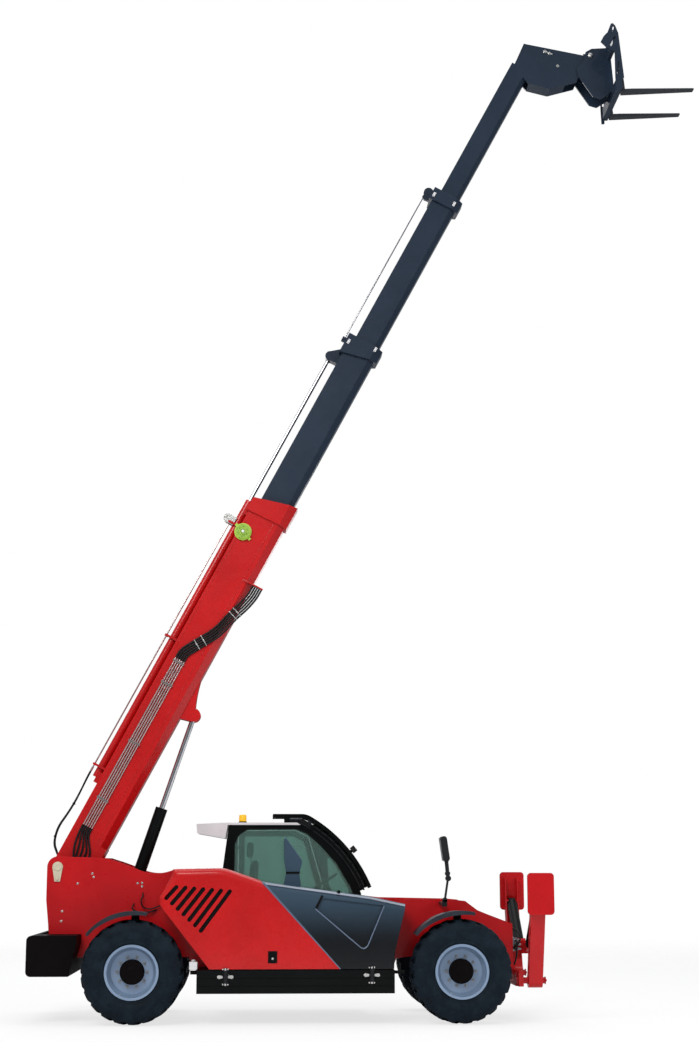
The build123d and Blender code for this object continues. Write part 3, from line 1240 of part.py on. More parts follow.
def hood_solid(inset, y0, y1, shoulder):
    """The closed form of the hood, drawn in by its wall."""
    with BuildPart() as form:
        with BuildSketch(side_plane(-y0)) as form_line:
            Polygon(*hood_line, align=None)
            bends = form_line.vertices().filter_by(lambda v: 900 < v.X < 2700 and v.Y > 1360)
            fillet(bends, hood_bend_radius)
            if inset:
                offset(amount=-inset, kind=Kind.INTERSECTION, mode=Mode.REPLACE)
        extrude(amount=y1 - y0)
        outer_edges = form.edges().filter_by(lambda e: abs(e.center().Y + y1) < 1)
        fillet(outer_edges.filter_by(lambda e: e.center().Z > 1290), shoulder)
    return form.part


# the cooling slots fan out between two slanting rows of ends
slot_count, slot_width = 7, 44
slot_tops = ((492, 1510), (1085, 1464))
slot_feet = ((352, 1358), (742, 1000))

hood_form = hood_solid(0, hood_inner_y, hood_outer_y, 80)
hood_core = hood_solid(hood_wall, hood_inner_y - 5, hood_outer_y - hood_wall, 80 - hood_wall)
for panel, direction in (("hood_rear", -1), ("hood_front", 1)):
    with BuildPart() as hood_panel:
        add(hood_form)
        add(hood_core, mode=Mode.SUBTRACT)
        # no floor: the hood lifts off over the engine
        block(866, 2890, hood_wall - hood_outer_y, -hood_inner_y + 10, hood_bottom_z - 10,
              hood_bottom_z + hood_wall + 2, Mode.SUBTRACT)
        with BuildSketch(side_plane(-hood_inner_y + 10)) as keep_side:
            (x0, z0), (x1, z1) = hood_split
            shift = direction * hood_seam / 2
            far = 4000 * direction
            high, low = z0 + 3 * (z0 - z1), z1 - (z0 - z1)
            Polygon((x0 + shift - 3 * (x1 - x0), high), (x1 + shift + (x1 - x0), low), (x1 + far, low),
                    (x0 + far, high), align=None)
        extrude(amount=hood_outer_y, mode=Mode.INTERSECT)
        if panel == "hood_rear":
            with BuildSketch(side_plane(-hood_outer_y + 20)):
                for slot in range(slot_count):
                    share = slot / (slot_count - 1)
                    top, foot = (Vector(*start) * (1 - share) + Vector(*end) * share
                                 for start, end in (slot_tops, slot_feet))
                    middle, along = (top + foot) / 2, top - foot
                    with Locations(Location((middle.X, middle.Y), degrees(atan2(along.Y, along.X)))):
                        SlotOverall(along.length, slot_width)
            extrude(amount=60, mode=Mode.SUBTRACT)
            # strap across the seam, behind the outer skin
            block(1760, 2060, hood_wall - hood_outer_y, hood_wall - hood_outer_y + 20, 960, 1040)
        else:
            # shallow pan pressed into the skin
            for grow, back, reach, mode in ((10, 28, 24, Mode.ADD), (0, 20, 24, Mode.SUBTRACT)):
                with BuildSketch(side_plane(back - hood_outer_y)) as pan:
                    Polygon(*hood_pan, align=None)
                    if grow:
                        offset(amount=grow, kind=Kind.INTERSECTION)
                extrude(pan.sketch, amount=reach, mode=mode)
        start_x = hood_hinge_starts[0] if panel == "hood_rear" else hood_hinge_starts[1]
        near, far = hood_hinge_point(start_x), hood_hinge_point(start_x + hood_hinge_length)
        with BuildPart() as lug:
            block(start_x + 10, start_x + hood_hinge_length - 10, -hood_hinge_y - 12, -hood_hinge_y + 12,
                  far[2], near[2] + 90)
            add(hood_form, mode=Mode.INTERSECT)
            rod_between(near, far, 15)
            rod_between(near, far, hood_pin_radius + running_gap, Mode.SUBTRACT)
        add(lug.part)
    keep(hood_panel, panel)

with BuildPart() as intake:
    with BuildSketch(side_plane(-705)):
        Polygon((1660, 1460), (1700, 1640), (1680, 1790), (1678, 2038), (1700, 2040), (1884, 1790),
                (1880, 1740), (1850, 1640), (1884, 1440), align=None)
    extrude(amount=190)
    add(hood_form, mode=Mode.SUBTRACT)
keep(intake, "intake")
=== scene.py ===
"""Looks of a four-wheel-steer telehandler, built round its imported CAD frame.

Parts are in millimetres from the rear axle (x forward, y to the left, z up), or along the boom from its foot
pin (s) and square to it (n, upward). place() and boom() turn them into points of the frame, in metres.
"""
import math

import bmesh
import bpy
from mathutils import Matrix, Vector


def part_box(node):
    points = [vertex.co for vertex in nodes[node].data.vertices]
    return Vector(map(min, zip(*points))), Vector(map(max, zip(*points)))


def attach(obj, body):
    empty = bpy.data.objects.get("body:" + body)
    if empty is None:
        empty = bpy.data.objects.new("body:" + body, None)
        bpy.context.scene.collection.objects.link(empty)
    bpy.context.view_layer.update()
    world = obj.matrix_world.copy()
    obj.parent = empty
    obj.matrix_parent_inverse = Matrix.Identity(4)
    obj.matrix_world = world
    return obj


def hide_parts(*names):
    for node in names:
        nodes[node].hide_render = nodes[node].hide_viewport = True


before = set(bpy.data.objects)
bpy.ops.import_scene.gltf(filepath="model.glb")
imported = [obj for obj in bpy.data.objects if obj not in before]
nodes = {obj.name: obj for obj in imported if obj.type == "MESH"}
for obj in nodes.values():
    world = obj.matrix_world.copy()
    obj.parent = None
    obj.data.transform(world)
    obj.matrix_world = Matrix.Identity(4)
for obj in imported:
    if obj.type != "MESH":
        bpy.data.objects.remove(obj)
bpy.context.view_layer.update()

REAR_AXLE_X = -2820.5
WHEELBASE = 3660
PIVOT = (-922, 1713)
BOOM_ANGLE = math.radians(62)
ALONG = Vector((math.cos(BOOM_ANGLE), 0, math.sin(BOOM_ANGLE)))
ACROSS = Vector((0, 1, 0))
UPWARD = Vector((-math.sin(BOOM_ANGLE), 0, math.cos(BOOM_ANGLE)))
X, Y, Z = Vector((1, 0, 0)), Vector((0, 1, 0)), Vector((0, 0, 1))
RIGHT = -Y
SIDES = (("left", 1), ("right", -1))
CORNERS = [(end_name, side_name, x, side) for end_name, x in (("front", WHEELBASE), ("rear", 0))
           for side_name, side in SIDES]
FULL_TURN = 2 * math.pi


def place(x, y, z):
    return Vector(((REAR_AXLE_X + x) / 1000, y / 1000, z / 1000))


def boom(s, n, y=0):
    foot = place(PIVOT[0], y, PIVOT[1])
    return foot + ALONG * (s / 1000) + UPWARD * (n / 1000)


# -------------------- materials
def add_node(tree, kind, inputs=None, **settings):
    made = tree.nodes.new("ShaderNode" + kind)
    for key, value in settings.items():
        setattr(made, key, value)
    for key, value in (inputs or {}).items():
        socket = made.inputs[key]
        if isinstance(value, bpy.types.NodeSocket):
            tree.links.new(value, socket)
        else:
            socket.default_value = value
    return made


def tint(colour, share, lift=0.0):
    return tuple(min(1, channel * share + lift) for channel in colour)


def noise(tree, coords, scale, detail=3, rough=0.55):
    return add_node(tree, "TexNoise", {"Vector": coords, "Scale": scale, "Detail": detail,
                                       "Roughness": rough}).outputs["Fac"]


def ramp(tree, value, low, high, to_low=0.0, to_high=1.0):
    return add_node(tree, "MapRange", {"Value": value, "From Min": low, "From Max": high, "To Min": to_low,
                                       "To Max": to_high}, interpolation_type="SMOOTHSTEP").outputs["Result"]


def math_node(tree, operation, a, b=0.0):
    return add_node(tree, "Math", {0: a, 1: b}, operation=operation).outputs[0]


def times(tree, value, *others):
    for other in others:
        value = math_node(tree, "MULTIPLY", value, other)
    return value


def wave(tree, coords, scale, distortion, way):
    return add_node(tree, "TexWave", {"Vector": coords, "Scale": scale, "Distortion": distortion},
                    bands_direction=way).outputs["Fac"]


def z_part(tree, vector):
    return add_node(tree, "SeparateXYZ", {0: vector}).outputs["Z"]


def flat_normal(tree):
    return add_node(tree, "NewGeometry").outputs["Normal"]


def mix(tree, factor, a, b):
    ends = [end if isinstance(end, bpy.types.NodeSocket) else (*end, 1) for end in (a, b)]
    return add_node(tree, "Mix", {"Factor": factor, 6: ends[0], 7: ends[1]}, data_type="RGBA").outputs[2]


def new_material(name):
    material = bpy.data.materials.new(name)
    material.use_nodes = True
    tree = material.node_tree
    tree.nodes.clear()
    return material, tree, add_node(tree, "TexCoord").outputs["Object"]


def finish_material(tree, inputs, height, strength, distance, normal=None):
    """Adds the shader with its inputs, and a bump from height over the given normal."""
    bump = {"Strength": strength, "Distance": distance, "Height": height}
    if normal:
        bump["Normal"] = normal
    shader = add_node(tree, "BsdfPrincipled", {**inputs, "Normal": add_node(tree, "Bump", bump).outputs[0]})
    add_node(tree, "OutputMaterial", {"Surface": shader.outputs[0]})


def edge_mask(tree, radius):
    """The rounded normal, and 1 along sharp edges, where it leaves the flat one."""
    rounded = add_node(tree, "Bevel", {"Radius": radius}, samples=4).outputs[0]
    dot = add_node(tree, "VectorMath", {0: rounded, 1: flat_normal(tree)}, operation="DOT_PRODUCT")
    return rounded, ramp(tree, dot.outputs["Value"], 0.985, 0.86)


def painted(name, colour, rough=0.3, coat=0.5, dust=0.18, wear=0.35, worn=None, peel=0.02, metallic=0.0,
            edge=0.004, low=0.9, gloss=0.5, painted_sky_reflection=None):
    """Sprayed paint: drift in tone, fine peel, a dusting on faces that look up or lie low, rubbed edges."""
    material, tree, coords = new_material(name)
    drift = noise(tree, coords, 1.7, 4)
    base = mix(tree, ramp(tree, drift, 0.3, 0.7), tint(colour, 0.90), tint(colour, 1.06, 0.001))
    height = z_part(tree, coords)
    # painted reflection: higher up, the colour turns towards painted_sky_reflection, as if the sky shone on
    # the paint
    if painted_sky_reflection:
        base = mix(tree, ramp(tree, height, 0.85, 1.5), base, painted_sky_reflection)
    speck = noise(tree, coords, 46, 6, 0.7)
    cloud = noise(tree, coords, 5, 5, 0.65)
    lying = math_node(tree, "ADD", ramp(tree, z_part(tree, flat_normal(tree)), 0.55, 1.0, 0, 0.55),
                      ramp(tree, height, low, 0.15, 0, 0.9))
    soil = times(tree, lying, ramp(tree, cloud, 0.38, 0.72), ramp(tree, speck, 0.32, 0.7), dust)
    base = mix(tree, soil, base, (0.30, 0.26, 0.21))
    rounded, edges = edge_mask(tree, edge)
    chips = times(tree, edges, ramp(tree, noise(tree, coords, 22, 5, 0.7), 0.5, 0.66), wear)
    roughness = math_node(tree, "ADD", times(tree, soil, 0.5),
                          ramp(tree, noise(tree, coords, 9, 5), 0.3, 0.75, rough * 0.9, rough * 1.12))
    finish_material(tree, {"Base Color": mix(tree, chips, base, worn or tint(colour, 0.5, 0.2)),
                           "Roughness": roughness, "Metallic": metallic, "Specular IOR Level": gloss,
                           "Coat Weight": coat, "Coat Roughness": 0.08},
                    math_node(tree, "ADD", noise(tree, coords, 260, 2), times(tree, speck, 0.3)), peel, 0.002,
                    rounded)
    return material


def metal(name, colour, rough, streak=(1, 1, 1), scale=60, spread=0.4, metallic=1.0):
    """Bare or plated metal with fine marks drawn out along one way."""
    material, tree, coords = new_material(name)
    stretched = add_node(tree, "Mapping", {"Vector": coords, "Scale": streak}).outputs[0]
    marks = noise(tree, stretched, scale, 6, 0.7)
    stain = noise(tree, coords, 7, 5, 0.7)
    finish_material(tree, {
        "Base Color": mix(tree, ramp(tree, stain, 0.35, 0.75, 0, 0.55), colour, tint(colour, 0.62)),
        "Metallic": metallic,
        "Roughness": ramp(tree, marks, 0.25, 0.8, rough * (1 - spread), rough * (1 + spread))},
        marks, 0.05, 0.001, edge_mask(tree, 0.002)[0])
    return material


def plastic(name, colour, rough=0.55, grain=300, dust=0.1, gloss=0.25):
    """Moulded plastic or rubber with a fine grain and a little dust in it."""
    material, tree, coords = new_material(name)
    fine = noise(tree, coords, grain, 3, 0.6)
    cloud = noise(tree, coords, 6, 5, 0.65)
    base = mix(tree, ramp(tree, cloud, 0.3, 0.75), tint(colour, 0.8), tint(colour, 1.2))
    film = times(tree, ramp(tree, z_part(tree, flat_normal(tree)), -0.2, 1.0, 0.25, 1),
                 ramp(tree, cloud, 0.4, 0.8), dust)
    base = mix(tree, film, base, (0.28, 0.26, 0.23))
    rounded, edges = edge_mask(tree, 0.003)
    finish_material(tree, {
        "Base Color": mix(tree, times(tree, edges, 0.3), base, tint(colour, 2, 0.006)),
        "Roughness": ramp(tree, fine, 0.2, 0.8, rough * 0.85, min(1, rough * 1.2)),
        "Specular IOR Level": gloss}, fine, 0.12, 0.001, rounded)
    return material


def glass(name, colour, rough):
    """Tinted pane: mostly see-through, with a film of dust that thickens in patches."""
    material, tree, coords = new_material(name)
    cloud = noise(tree, coords, 3, 5, 0.6)
    pane = add_node(tree, "BsdfPrincipled", {
        "Base Color": mix(tree, ramp(tree, cloud, 0.35, 0.7), colour, tint(colour, 0.8, 0.05)),
        "Roughness": ramp(tree, cloud, 0.4, 0.9, rough, rough + 0.03),
        "Transmission Weight": 0.75, "IOR": 1.45, "Alpha": 0.92})
    add_node(tree, "OutputMaterial", {"Surface": pane.outputs[0]})
    return material


def lit_plastic(name, colour, glow, clear=0.35, rough=0.18):
    """Ribbed plastic, clear or not, that can glow a little."""
    material, tree, coords = new_material(name)
    ribs = wave(tree, coords, 38, 0.0, "Z")
    finish_material(tree, {
        "Base Color": mix(tree, ribs, colour, tint(colour, 1.25, 0.02)), "Roughness": rough,
        "Transmission Weight": clear, "Emission Color": (*colour, 1), "Emission Strength": glow},
        ribs, 0.25, 0.002)
    return material


def tyre_rubber(name):
    """Near-black rubber, cloudy in tone, with patches of grey dust and paler edges."""
    material, tree, coords = new_material(name)
    cloud = noise(tree, coords, 5, 6, 0.7)
    grit = noise(tree, coords, 120, 4, 0.7)
    base = mix(tree, ramp(tree, cloud, 0.3, 0.7), (0.0025, 0.0060, 0.0105), (0.0055, 0.0130, 0.0220))
    dusty = times(tree, ramp(tree, cloud, 0.42, 0.75), ramp(tree, grit, 0.4, 0.75), 0.10)
    base = mix(tree, dusty, base, (0.10, 0.10, 0.09))
    rounded, edges = edge_mask(tree, 0.006)
    finish_material(tree, {
        "Base Color": mix(tree, times(tree, edges, 0.25), base, (0.05, 0.06, 0.06)),
        "Roughness": ramp(tree, grit, 0.2, 0.8, 0.5, 0.85), "Specular IOR Level": 0.12},
        grit, 0.25, 0.0015, rounded)
    return material


def cloth(name, colour):
    """Woven seat fabric: two crossed threads and a soft sheen."""
    material, tree, coords = new_material(name)
    weave = times(tree, *(wave(tree, coords, 190, 0.6, way) for way in "YZ"))
    base = mix(tree, weave, tint(colour, 0.5), colour)
    base = mix(tree, ramp(tree, noise(tree, coords, 8, 4), 0.4, 0.8, 0, 0.3), base, tint(colour, 1.8, 0.01))
    finish_material(tree, {"Base Color": base, "Roughness": 0.9, "Sheen Weight": 0.4}, weave, 0.4, 0.0008)
    return material


RED = painted("red_paint", (0.51, 0.005, 0.006), rough=0.28, coat=0.3, dust=0.02, gloss=0.25)
# A darker copy of the red paint: painted shade for the chassis, tower and stabilisers.
RED_PAINTED_SHADE = painted("red_paint_painted_shade", (0.49, 0.005, 0.008), rough=0.30, coat=0.2, dust=0.03, gloss=0.2)
SLATE = painted("slate_paint", (0.015, 0.026, 0.046), rough=0.32, coat=0.2, dust=0.02, wear=0.2, gloss=0.2)
# Dark slate with a painted reflection: it turns bluer and lighter towards the top, standing for the sky's
# reflection.
HOOD_SLATE = painted("hood_slate", (0.0030, 0.0042, 0.0060), rough=0.24, coat=0.25, dust=0.005, wear=0.1,
                     gloss=0.18, painted_sky_reflection=(0.040, 0.070, 0.105))
SLATE_LIGHT = painted("slate_trim", (0.10, 0.14, 0.22), rough=0.30, coat=0.5, dust=0.03, wear=0.1)
BLACK = painted("black_paint", (0.0016, 0.0026, 0.0028), rough=0.38, coat=0.05, dust=0.006, wear=0.10,
                worn=(0.05, 0.05, 0.055), gloss=0.08)
WHEEL = painted("wheel_paint", (0.22, 0.31, 0.45), rough=0.34, coat=0.3, dust=0.06, wear=0.2, metallic=0.3)
WHITE = painted("white_paint", (0.80, 0.79, 0.81), rough=0.3, coat=0.4, dust=0.10, wear=0.1)
CAST = painted("cast_black", (0.0022, 0.0012, 0.0015), rough=0.60, coat=0.0, dust=0.012, wear=0.15, peel=0.12,
               worn=(0.03, 0.03, 0.03), gloss=0.05)
CREAM = painted("cream_paint", (0.58, 0.52, 0.38), rough=0.4, coat=0.2)
CHROME = metal("chrome", (0.62, 0.63, 0.66), 0.10, streak=(1, 1, 6), scale=40)
STEEL = metal("steel", (0.30, 0.32, 0.35), 0.35, scale=90)
# Steel tinted pink: partly a painted reflection of the red boom round the pipes.
PIPE_STEEL_PAINTED_PINK = metal("pipe_steel_painted_pink", (0.74, 0.64, 0.62), 0.13, scale=50)
BRIGHT = metal("bright_zinc", (0.70, 0.70, 0.68), 0.30, scale=120)
FORK = metal("fork_steel", (0.030, 0.034, 0.042), 0.42, streak=(0.2, 4, 4), scale=70, metallic=0.3)
RUBBER = plastic("hose_rubber", (0.004, 0.004, 0.005), rough=0.5, grain=420, dust=0.03)
MOULDED = plastic("black_plastic", (0.007, 0.008, 0.010), rough=0.46, grain=340, dust=0.04)
FENDER = plastic("fender_plastic", (0.016, 0.020, 0.030), rough=0.5, grain=280, dust=0.06)
GASKET = plastic("window_rubber", (0.003, 0.003, 0.0035), rough=0.7, grain=240, dust=0.02, gloss=0.12)
GLASS = glass("tinted_glass", (0.24, 0.45, 0.39), 0.0)
# Pale paint for a painted highlight: the sky's reflection along the hood's top edge.
PAINTED_HIGHLIGHT = painted("painted_highlight_edge", (0.34, 0.38, 0.46), rough=0.25, coat=0.4, dust=0.03, wear=0.1)
REEL_PAINTED_SHADE = lit_plastic("reel_painted_shade", (0.16, 0.30, 0.02), 0.0, clear=0.0, rough=0.35)
MIRROR_GLASS = metal("mirror_silver", (0.75, 0.77, 0.78), 0.03, scale=5, spread=0.2)
AMBER = lit_plastic("amber_plastic", (0.80, 0.46, 0.01), 0.25)
LENS = lit_plastic("lamp_lens", (0.85, 0.88, 0.9), 0.15, clear=0.5)
# The reel's green glows a little though it is no lamp: painted light.
REEL_GREEN_PAINTED_GLOW = lit_plastic("green_plastic", (0.33, 0.52, 0.05), 0.05, clear=0.0, rough=0.3)
TYRE = tyre_rubber("tyre_rubber")
FABRIC = cloth("seat_fabric", (0.045, 0.047, 0.052))

NODE_MATERIALS = {
    RED: ("boom_outer", "hood_rear", "telescope_barrel"),
    RED_PAINTED_SHADE: ("chassis_frame", "stabiliser_left", "stabiliser_right"),
    SLATE: ("boom_second", "boom_third", "boom_fourth", "fork_carriage"),
    HOOD_SLATE: ("hood_front", "intake"),
    BLACK: ("cab_frame", "cab_door", "cab_guard", "side_boxes", "lift_barrel", "tilt_barrel", "axle_front",
            "axle_rear", "stabiliser_barrel_left", "stabiliser_barrel_right"),
    CAST: ("counterweight", "engine"),
    CHROME: ("telescope_rod", "lift_rod", "tilt_rod", "upper_rod", "stabiliser_rod_left",
             "stabiliser_rod_right"),
    CREAM: ("boom_pivot_pin",),
    FORK: ("forks",),
    GLASS: ("cab_glass", "door_glass"),
    WHITE: ("cab_roof",),
    MOULDED: ("dashboard", "mirror"),
    FABRIC: ("seat",),
    AMBER: ("lamps",),
    RUBBER: ("boom_hoses", "hose_rear_left", "hose_rear_right"),
    PIPE_STEEL_PAINTED_PINK: ("boom_pipes",),
    REEL_GREEN_PAINTED_GLOW: ("cable_reel",),
}
CORNER_MATERIALS = {BLACK: "knuckle", FENDER: "fender", WHEEL: "rim", TYRE: "tyre"}


def coat(name, material):
    nodes[name].data.materials.clear()
    nodes[name].data.materials.append(material)


for material, names in NODE_MATERIALS.items():
    for name in names:
        coat(name, material)
for material, name in CORNER_MATERIALS.items():
    for end_name, side_name, _, _ in CORNERS:
        coat(f"{name}_{end_name}_{side_name}", material)


# -------------------- mesh tools
SHARP_EDGE = math.radians(35)  # a bevel rounds the edges that turn by more than this


def add_object(name, data, material, body):
    """Puts new data in the scene as an object that rides on a body."""
    made = bpy.data.objects.new(name, data)
    bpy.context.scene.collection.objects.link(made)
    data.materials.append(material)
    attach(made, body)
    return made


def piece(name, body, material, build, bevel=0, segments=2, smooth=None, stands_for=()):
    """A mesh object of what build draws. bevel is in millimetres, smooth in degrees."""
    mesh = bpy.data.meshes.new(name)
    form = bmesh.new()
    build(form)
    bmesh.ops.recalc_face_normals(form, faces=form.faces)
    form.to_mesh(mesh)
    form.free()
    made = add_object(name, mesh, material, body)
    if bevel:
        rounding = made.modifiers.new("edges", "BEVEL")
        rounding.width = bevel / 1000
        rounding.segments = segments
        rounding.limit_method = "ANGLE"
        rounding.angle_limit = SHARP_EDGE
    if smooth is not None:
        mesh.shade_smooth()
        mesh.set_sharp_from_angle(angle=math.radians(smooth))
    if stands_for:
        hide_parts(*stands_for)
    return made


def draws(body, material, **look):
    """Makes a piece of what the function below draws, under that function's name."""
    return lambda build: piece(build.__name__, body, material, build, **look)


def join_rings(form, rings, closed=False):
    """Skins a row of rings that have as many points each. Its ends are closed, or joined to each other."""
    for a, b in [*zip(rings, rings[1:])] + ([(rings[-1], rings[0])] if closed else []):
        for k in range(len(a)):
            m = (k + 1) % len(a)
            form.faces.new((a[k], a[m], b[m], b[k]))
    if not closed:
        form.faces.new(rings[0])
        form.faces.new(rings[-1][::-1])


def prism(form, outline, origin, along, up, depth):
    """An outline drawn in (along, up) at origin, pushed depth along their cross product."""
    out = along.cross(up).normalized() * (depth / 1000)
    low = [form.verts.new(origin + along * (a / 1000) + up * (b / 1000)) for a, b in outline]
    join_rings(form, (low, [form.verts.new(v.co + out) for v in low]))


def block(form, centre, size, axes=(X, Y, Z)):
    """A box about centre, with its edges along the axes."""
    half = [axis.normalized() * (length / 2000) for axis, length in zip(axes, size)]
    join_rings(form, [[form.verts.new(centre + half[0] * i + half[1] * j + half[2] * k)
                       for i, j in ((-1, -1), (1, -1), (1, 1), (-1, 1))] for k in (-1, 1)])


def frame_for(axis):
    axis = axis.normalized()
    side = axis.cross(Z if abs(axis.z) < 0.9 else X).normalized()
    return axis, side, axis.cross(side).normalized()


def spoke(side, other, radius, turn):
    return (side * math.cos(turn) + other * math.sin(turn)) * (radius / 1000)


def lathe(form, origin, axis, profile, segments=48, capped=True, closed=False):
    """Turns (distance along axis, radius) pairs about an axis.

    capped closes both ends at the axis. closed joins the last pair to the first.
    """
    axis, side, other = frame_for(axis)
    if capped:
        profile = [(profile[0][0], 0), *profile] + ([(profile[-1][0], 0)] if profile[-1][1] else [])
    rings = []
    for reach, radius in profile:
        centre = origin + axis * (reach / 1000)
        turns = [FULL_TURN * k / segments for k in range(segments)] if radius else (0,)
        rings.append([form.verts.new(centre + spoke(side, other, radius, turn)) for turn in turns])
    for a, b in [*zip(rings, rings[1:])] + ([(rings[-1], rings[0])] if closed else []):
        for k in range(segments):
            m = (k + 1) % segments
            if len(a) == 1:
                form.faces.new((a[0], b[k], b[m]))
            elif len(b) == 1:
                form.faces.new((a[k], b[0], a[m]))
            else:
                form.faces.new((a[k], b[k], b[m], a[m]))


def rod(form, start, end, radius, segments=16):
    axis = end - start
    lathe(form, start, axis, ((0, radius), (axis.length * 1000, radius)), segments)


def rods(form, spots, radius, segments):
    """A rod along each leg of a line of spots."""
    for start, end in zip(spots, spots[1:]):
        rod(form, start, end, radius, segments)


def bolt(form, spot, axis, radius, height=None, washer=True):
    """A hexagon head, on a washer or bare."""
    height = height or radius * 0.9
    if washer:
        lathe(form, spot, axis, ((0, radius * 1.5), (radius * 0.2, radius * 1.45)), 20)
        spot = spot + axis * (radius * 0.2 / 1000)
    lathe(form, spot, axis, ((0, radius), (height * 0.85, radius), (height, radius * 0.82)), 6)


def hose(name, body, points, radius, resolution=2):
    """A small hose as a smooth curve through control points."""
    curve = bpy.data.curves.new(name, "CURVE")
    curve.dimensions = "3D"
    line = curve.splines.new("NURBS")
    line.points.add(len(points) - 1)
    for spot, point in zip(line.points, points):
        spot.co = (*point, 1)
    line.order_u = 3
    line.use_endpoint_u = True
    line.resolution_u = 8
    curve.bevel_depth = radius / 1000
    curve.bevel_resolution = resolution
    curve.use_fill_caps = True
    return add_object(name, curve, RUBBER, body)


# -------------------- hanging hoses at the boom's foot
REAR_HOSES = {
    "left": (13, ((1131.7, 252), (1045, 252), (880, 243), (700, 240), (540, 252), (400, 270), (280, 250),
                  (180, 210), (117, 136), (60.5, 64.9))),
    "right": (-13, ((1131.7, 252), (1050, 252), (890, 240), (710, 234), (550, 244), (410, 260), (290, 244),
                    (190, 204), (126, 134), (64, 61.5))),
}
for side_name, (hose_y, route) in REAR_HOSES.items():
    cord = hose(f"rear_hose_{side_name}", "boom", [boom(s, n, hose_y) for s, n in route], 11, 4)
    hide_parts(f"hose_rear_{side_name}")


# -------------------- wheels
WHEEL_Y, WHEEL_Z = 990, 570
DISC = 68.5  # outer face of the wheel's disc, from its middle plane
NUTS, NUT_CIRCLE = 10, 165
HALF_TYRE = ((191, 284.3), (191, 306), (201, 316), (206, 330), (204, 341), (212, 350), (219, 395), (220, 425),
             (217, 432), (219, 440), (206, 505), (178, 536), (130, 541))
TYRE_LINE = [(-reach, radius) for reach, radius in HALF_TYRE] + [*HALF_TYRE[::-1]]
LUGS = 22
# The rings of a lug: reach and radius of its top and of its base, then skew and half width in radians.
LUG_LINE = ((216, 452, 200, 452, -0.035, 0.050), (215, 470, 200, 460, -0.03, 0.056),
            (205, 505, 188, 490, -0.012, 0.064), (180, 548, 172, 513, 0.0, 0.066),
            (154, 561, 150, 522, 0.018, 0.064), (70, 570.5, 70, 525, 0.095, 0.052),
            (-14, 569, -14, 525, 0.150, 0.046), (-22, 545, -22, 525, 0.154, 0.040))
LUG_FLARE = 1.15  # how much wider a lug's base is than its top


def on_wheel(centre, axis, reach, radius, turn):
    _, side, other = frame_for(axis)
    return centre + axis * (reach / 1000) + spoke(side, other, radius, turn)


def tyre(form, centre, axis, start):
    """Carcass with its bead and sidewall ribs, and two rows of skewed lugs that wrap the shoulders."""
    lathe(form, centre, axis, TYRE_LINE, 96, capped=False, closed=True)
    for half, stagger in ((-1, 0), (1, 0.5)):
        for lug in range(LUGS):
            middle = start + FULL_TURN * (lug + stagger) / LUGS
            join_rings(form, [
                [form.verts.new(on_wheel(centre, axis, half * reach, radius, middle + skew + turn))
                 for reach, radius, turn in ((top_y, top_r, -width), (top_y, top_r, width),
                                             (base_y, base_r, width * LUG_FLARE),
                                             (base_y, base_r, -width * LUG_FLARE))]
                for top_y, top_r, base_y, base_r, skew, width in LUG_LINE])


def hub_cap(form, centre, axis):
    lathe(form, centre, axis,
          ((DISC, 138), (86, 138), (94, 130), (146, 129), (153, 122), (154, 60), (158, 55), (161, 30)), 64)
    for k in range(NUTS):
        spot = on_wheel(centre, axis, 153.5, 98, FULL_TURN * (k + 0.5) / NUTS)
        bolt(form, spot, axis, 7.5, 6, washer=False)


def wheel_nuts(form, centre, axis):
    for k in range(NUTS):
        spot = on_wheel(centre, axis, DISC, NUT_CIRCLE, FULL_TURN * k / NUTS)
        bolt(form, spot, axis, 14, 17)
        lathe(form, spot, axis, ((0, 7.5), (30, 7.5), (32, 6)), 12)


def valve(form, centre, axis):
    lathe(form, on_wheel(centre, axis, 100, 268, 1.1), axis,
          ((0, 9), (20, 7), (28, 5), (55, 5), (56, 6.5), (70, 6.5), (71, 0)), 14)


FENDER_ARC = (77, 141)  # degrees over the wheel, from straight ahead
FENDER_STEPS = 32


def fender_edge(form, centre, side, outer_y):
    """The deep rolled edge along the fender's outer side."""
    rings = []
    for k in range(FENDER_STEPS + 1):
        turn = math.radians(FENDER_ARC[0] + (FENDER_ARC[1] - FENDER_ARC[0]) * k / FENDER_STEPS)
        lip = 642 - 30 * math.sin(math.pi * min(1, k / FENDER_STEPS + 0.06)) ** 0.5
        rings.append([form.verts.new(Vector((centre.x, outer_y, centre.z)) + spoke(X, Z, radius, turn)
                                     + Y * (side * reach / 1000))
                      for radius, reach in ((660, 6), (664, 0), (660, -8), (lip, -8), (lip, 4))])
    join_rings(form, rings)


for end_name, side_name, wheel_x, side in CORNERS:
    corner, middle, out = f"{end_name}_{side_name}", place(wheel_x, side * WHEEL_Y, WHEEL_Z), Y * side
    body = f"wheel_{corner}"
    piece(f"tread_{corner}", body, TYRE, lambda form: tyre(form, middle, out, 0.05 * wheel_x / WHEELBASE),
          bevel=4, segments=1, smooth=40, stands_for=(f"tyre_{corner}",))
    piece(f"hub_cap_{corner}", body, CAST, lambda form: hub_cap(form, middle, out), smooth=35)
    piece(f"wheel_nuts_{corner}", body, STEEL, lambda form: wheel_nuts(form, middle, out), smooth=30)
    piece(f"valve_{corner}", body, BRIGHT, lambda form: valve(form, middle, out), smooth=35)
    low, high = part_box(f"fender_{corner}")
    edge_y = high.y if side > 0 else low.y
    piece(f"fender_edge_{corner}", f"knuckle_{corner}", FENDER,
          lambda form: fender_edge(form, middle, side, edge_y), smooth=40)


# -------------------- hood and skirt
HOOD_Y = -1150


def along_line(start, end, share):
    return tuple(a + (b - a) * share for a, b in zip(start, end))


def rectangle(x0, z0, x1, z1):
    return ((x0, z0), (x1, z0), (x1, z1), (x0, z1))


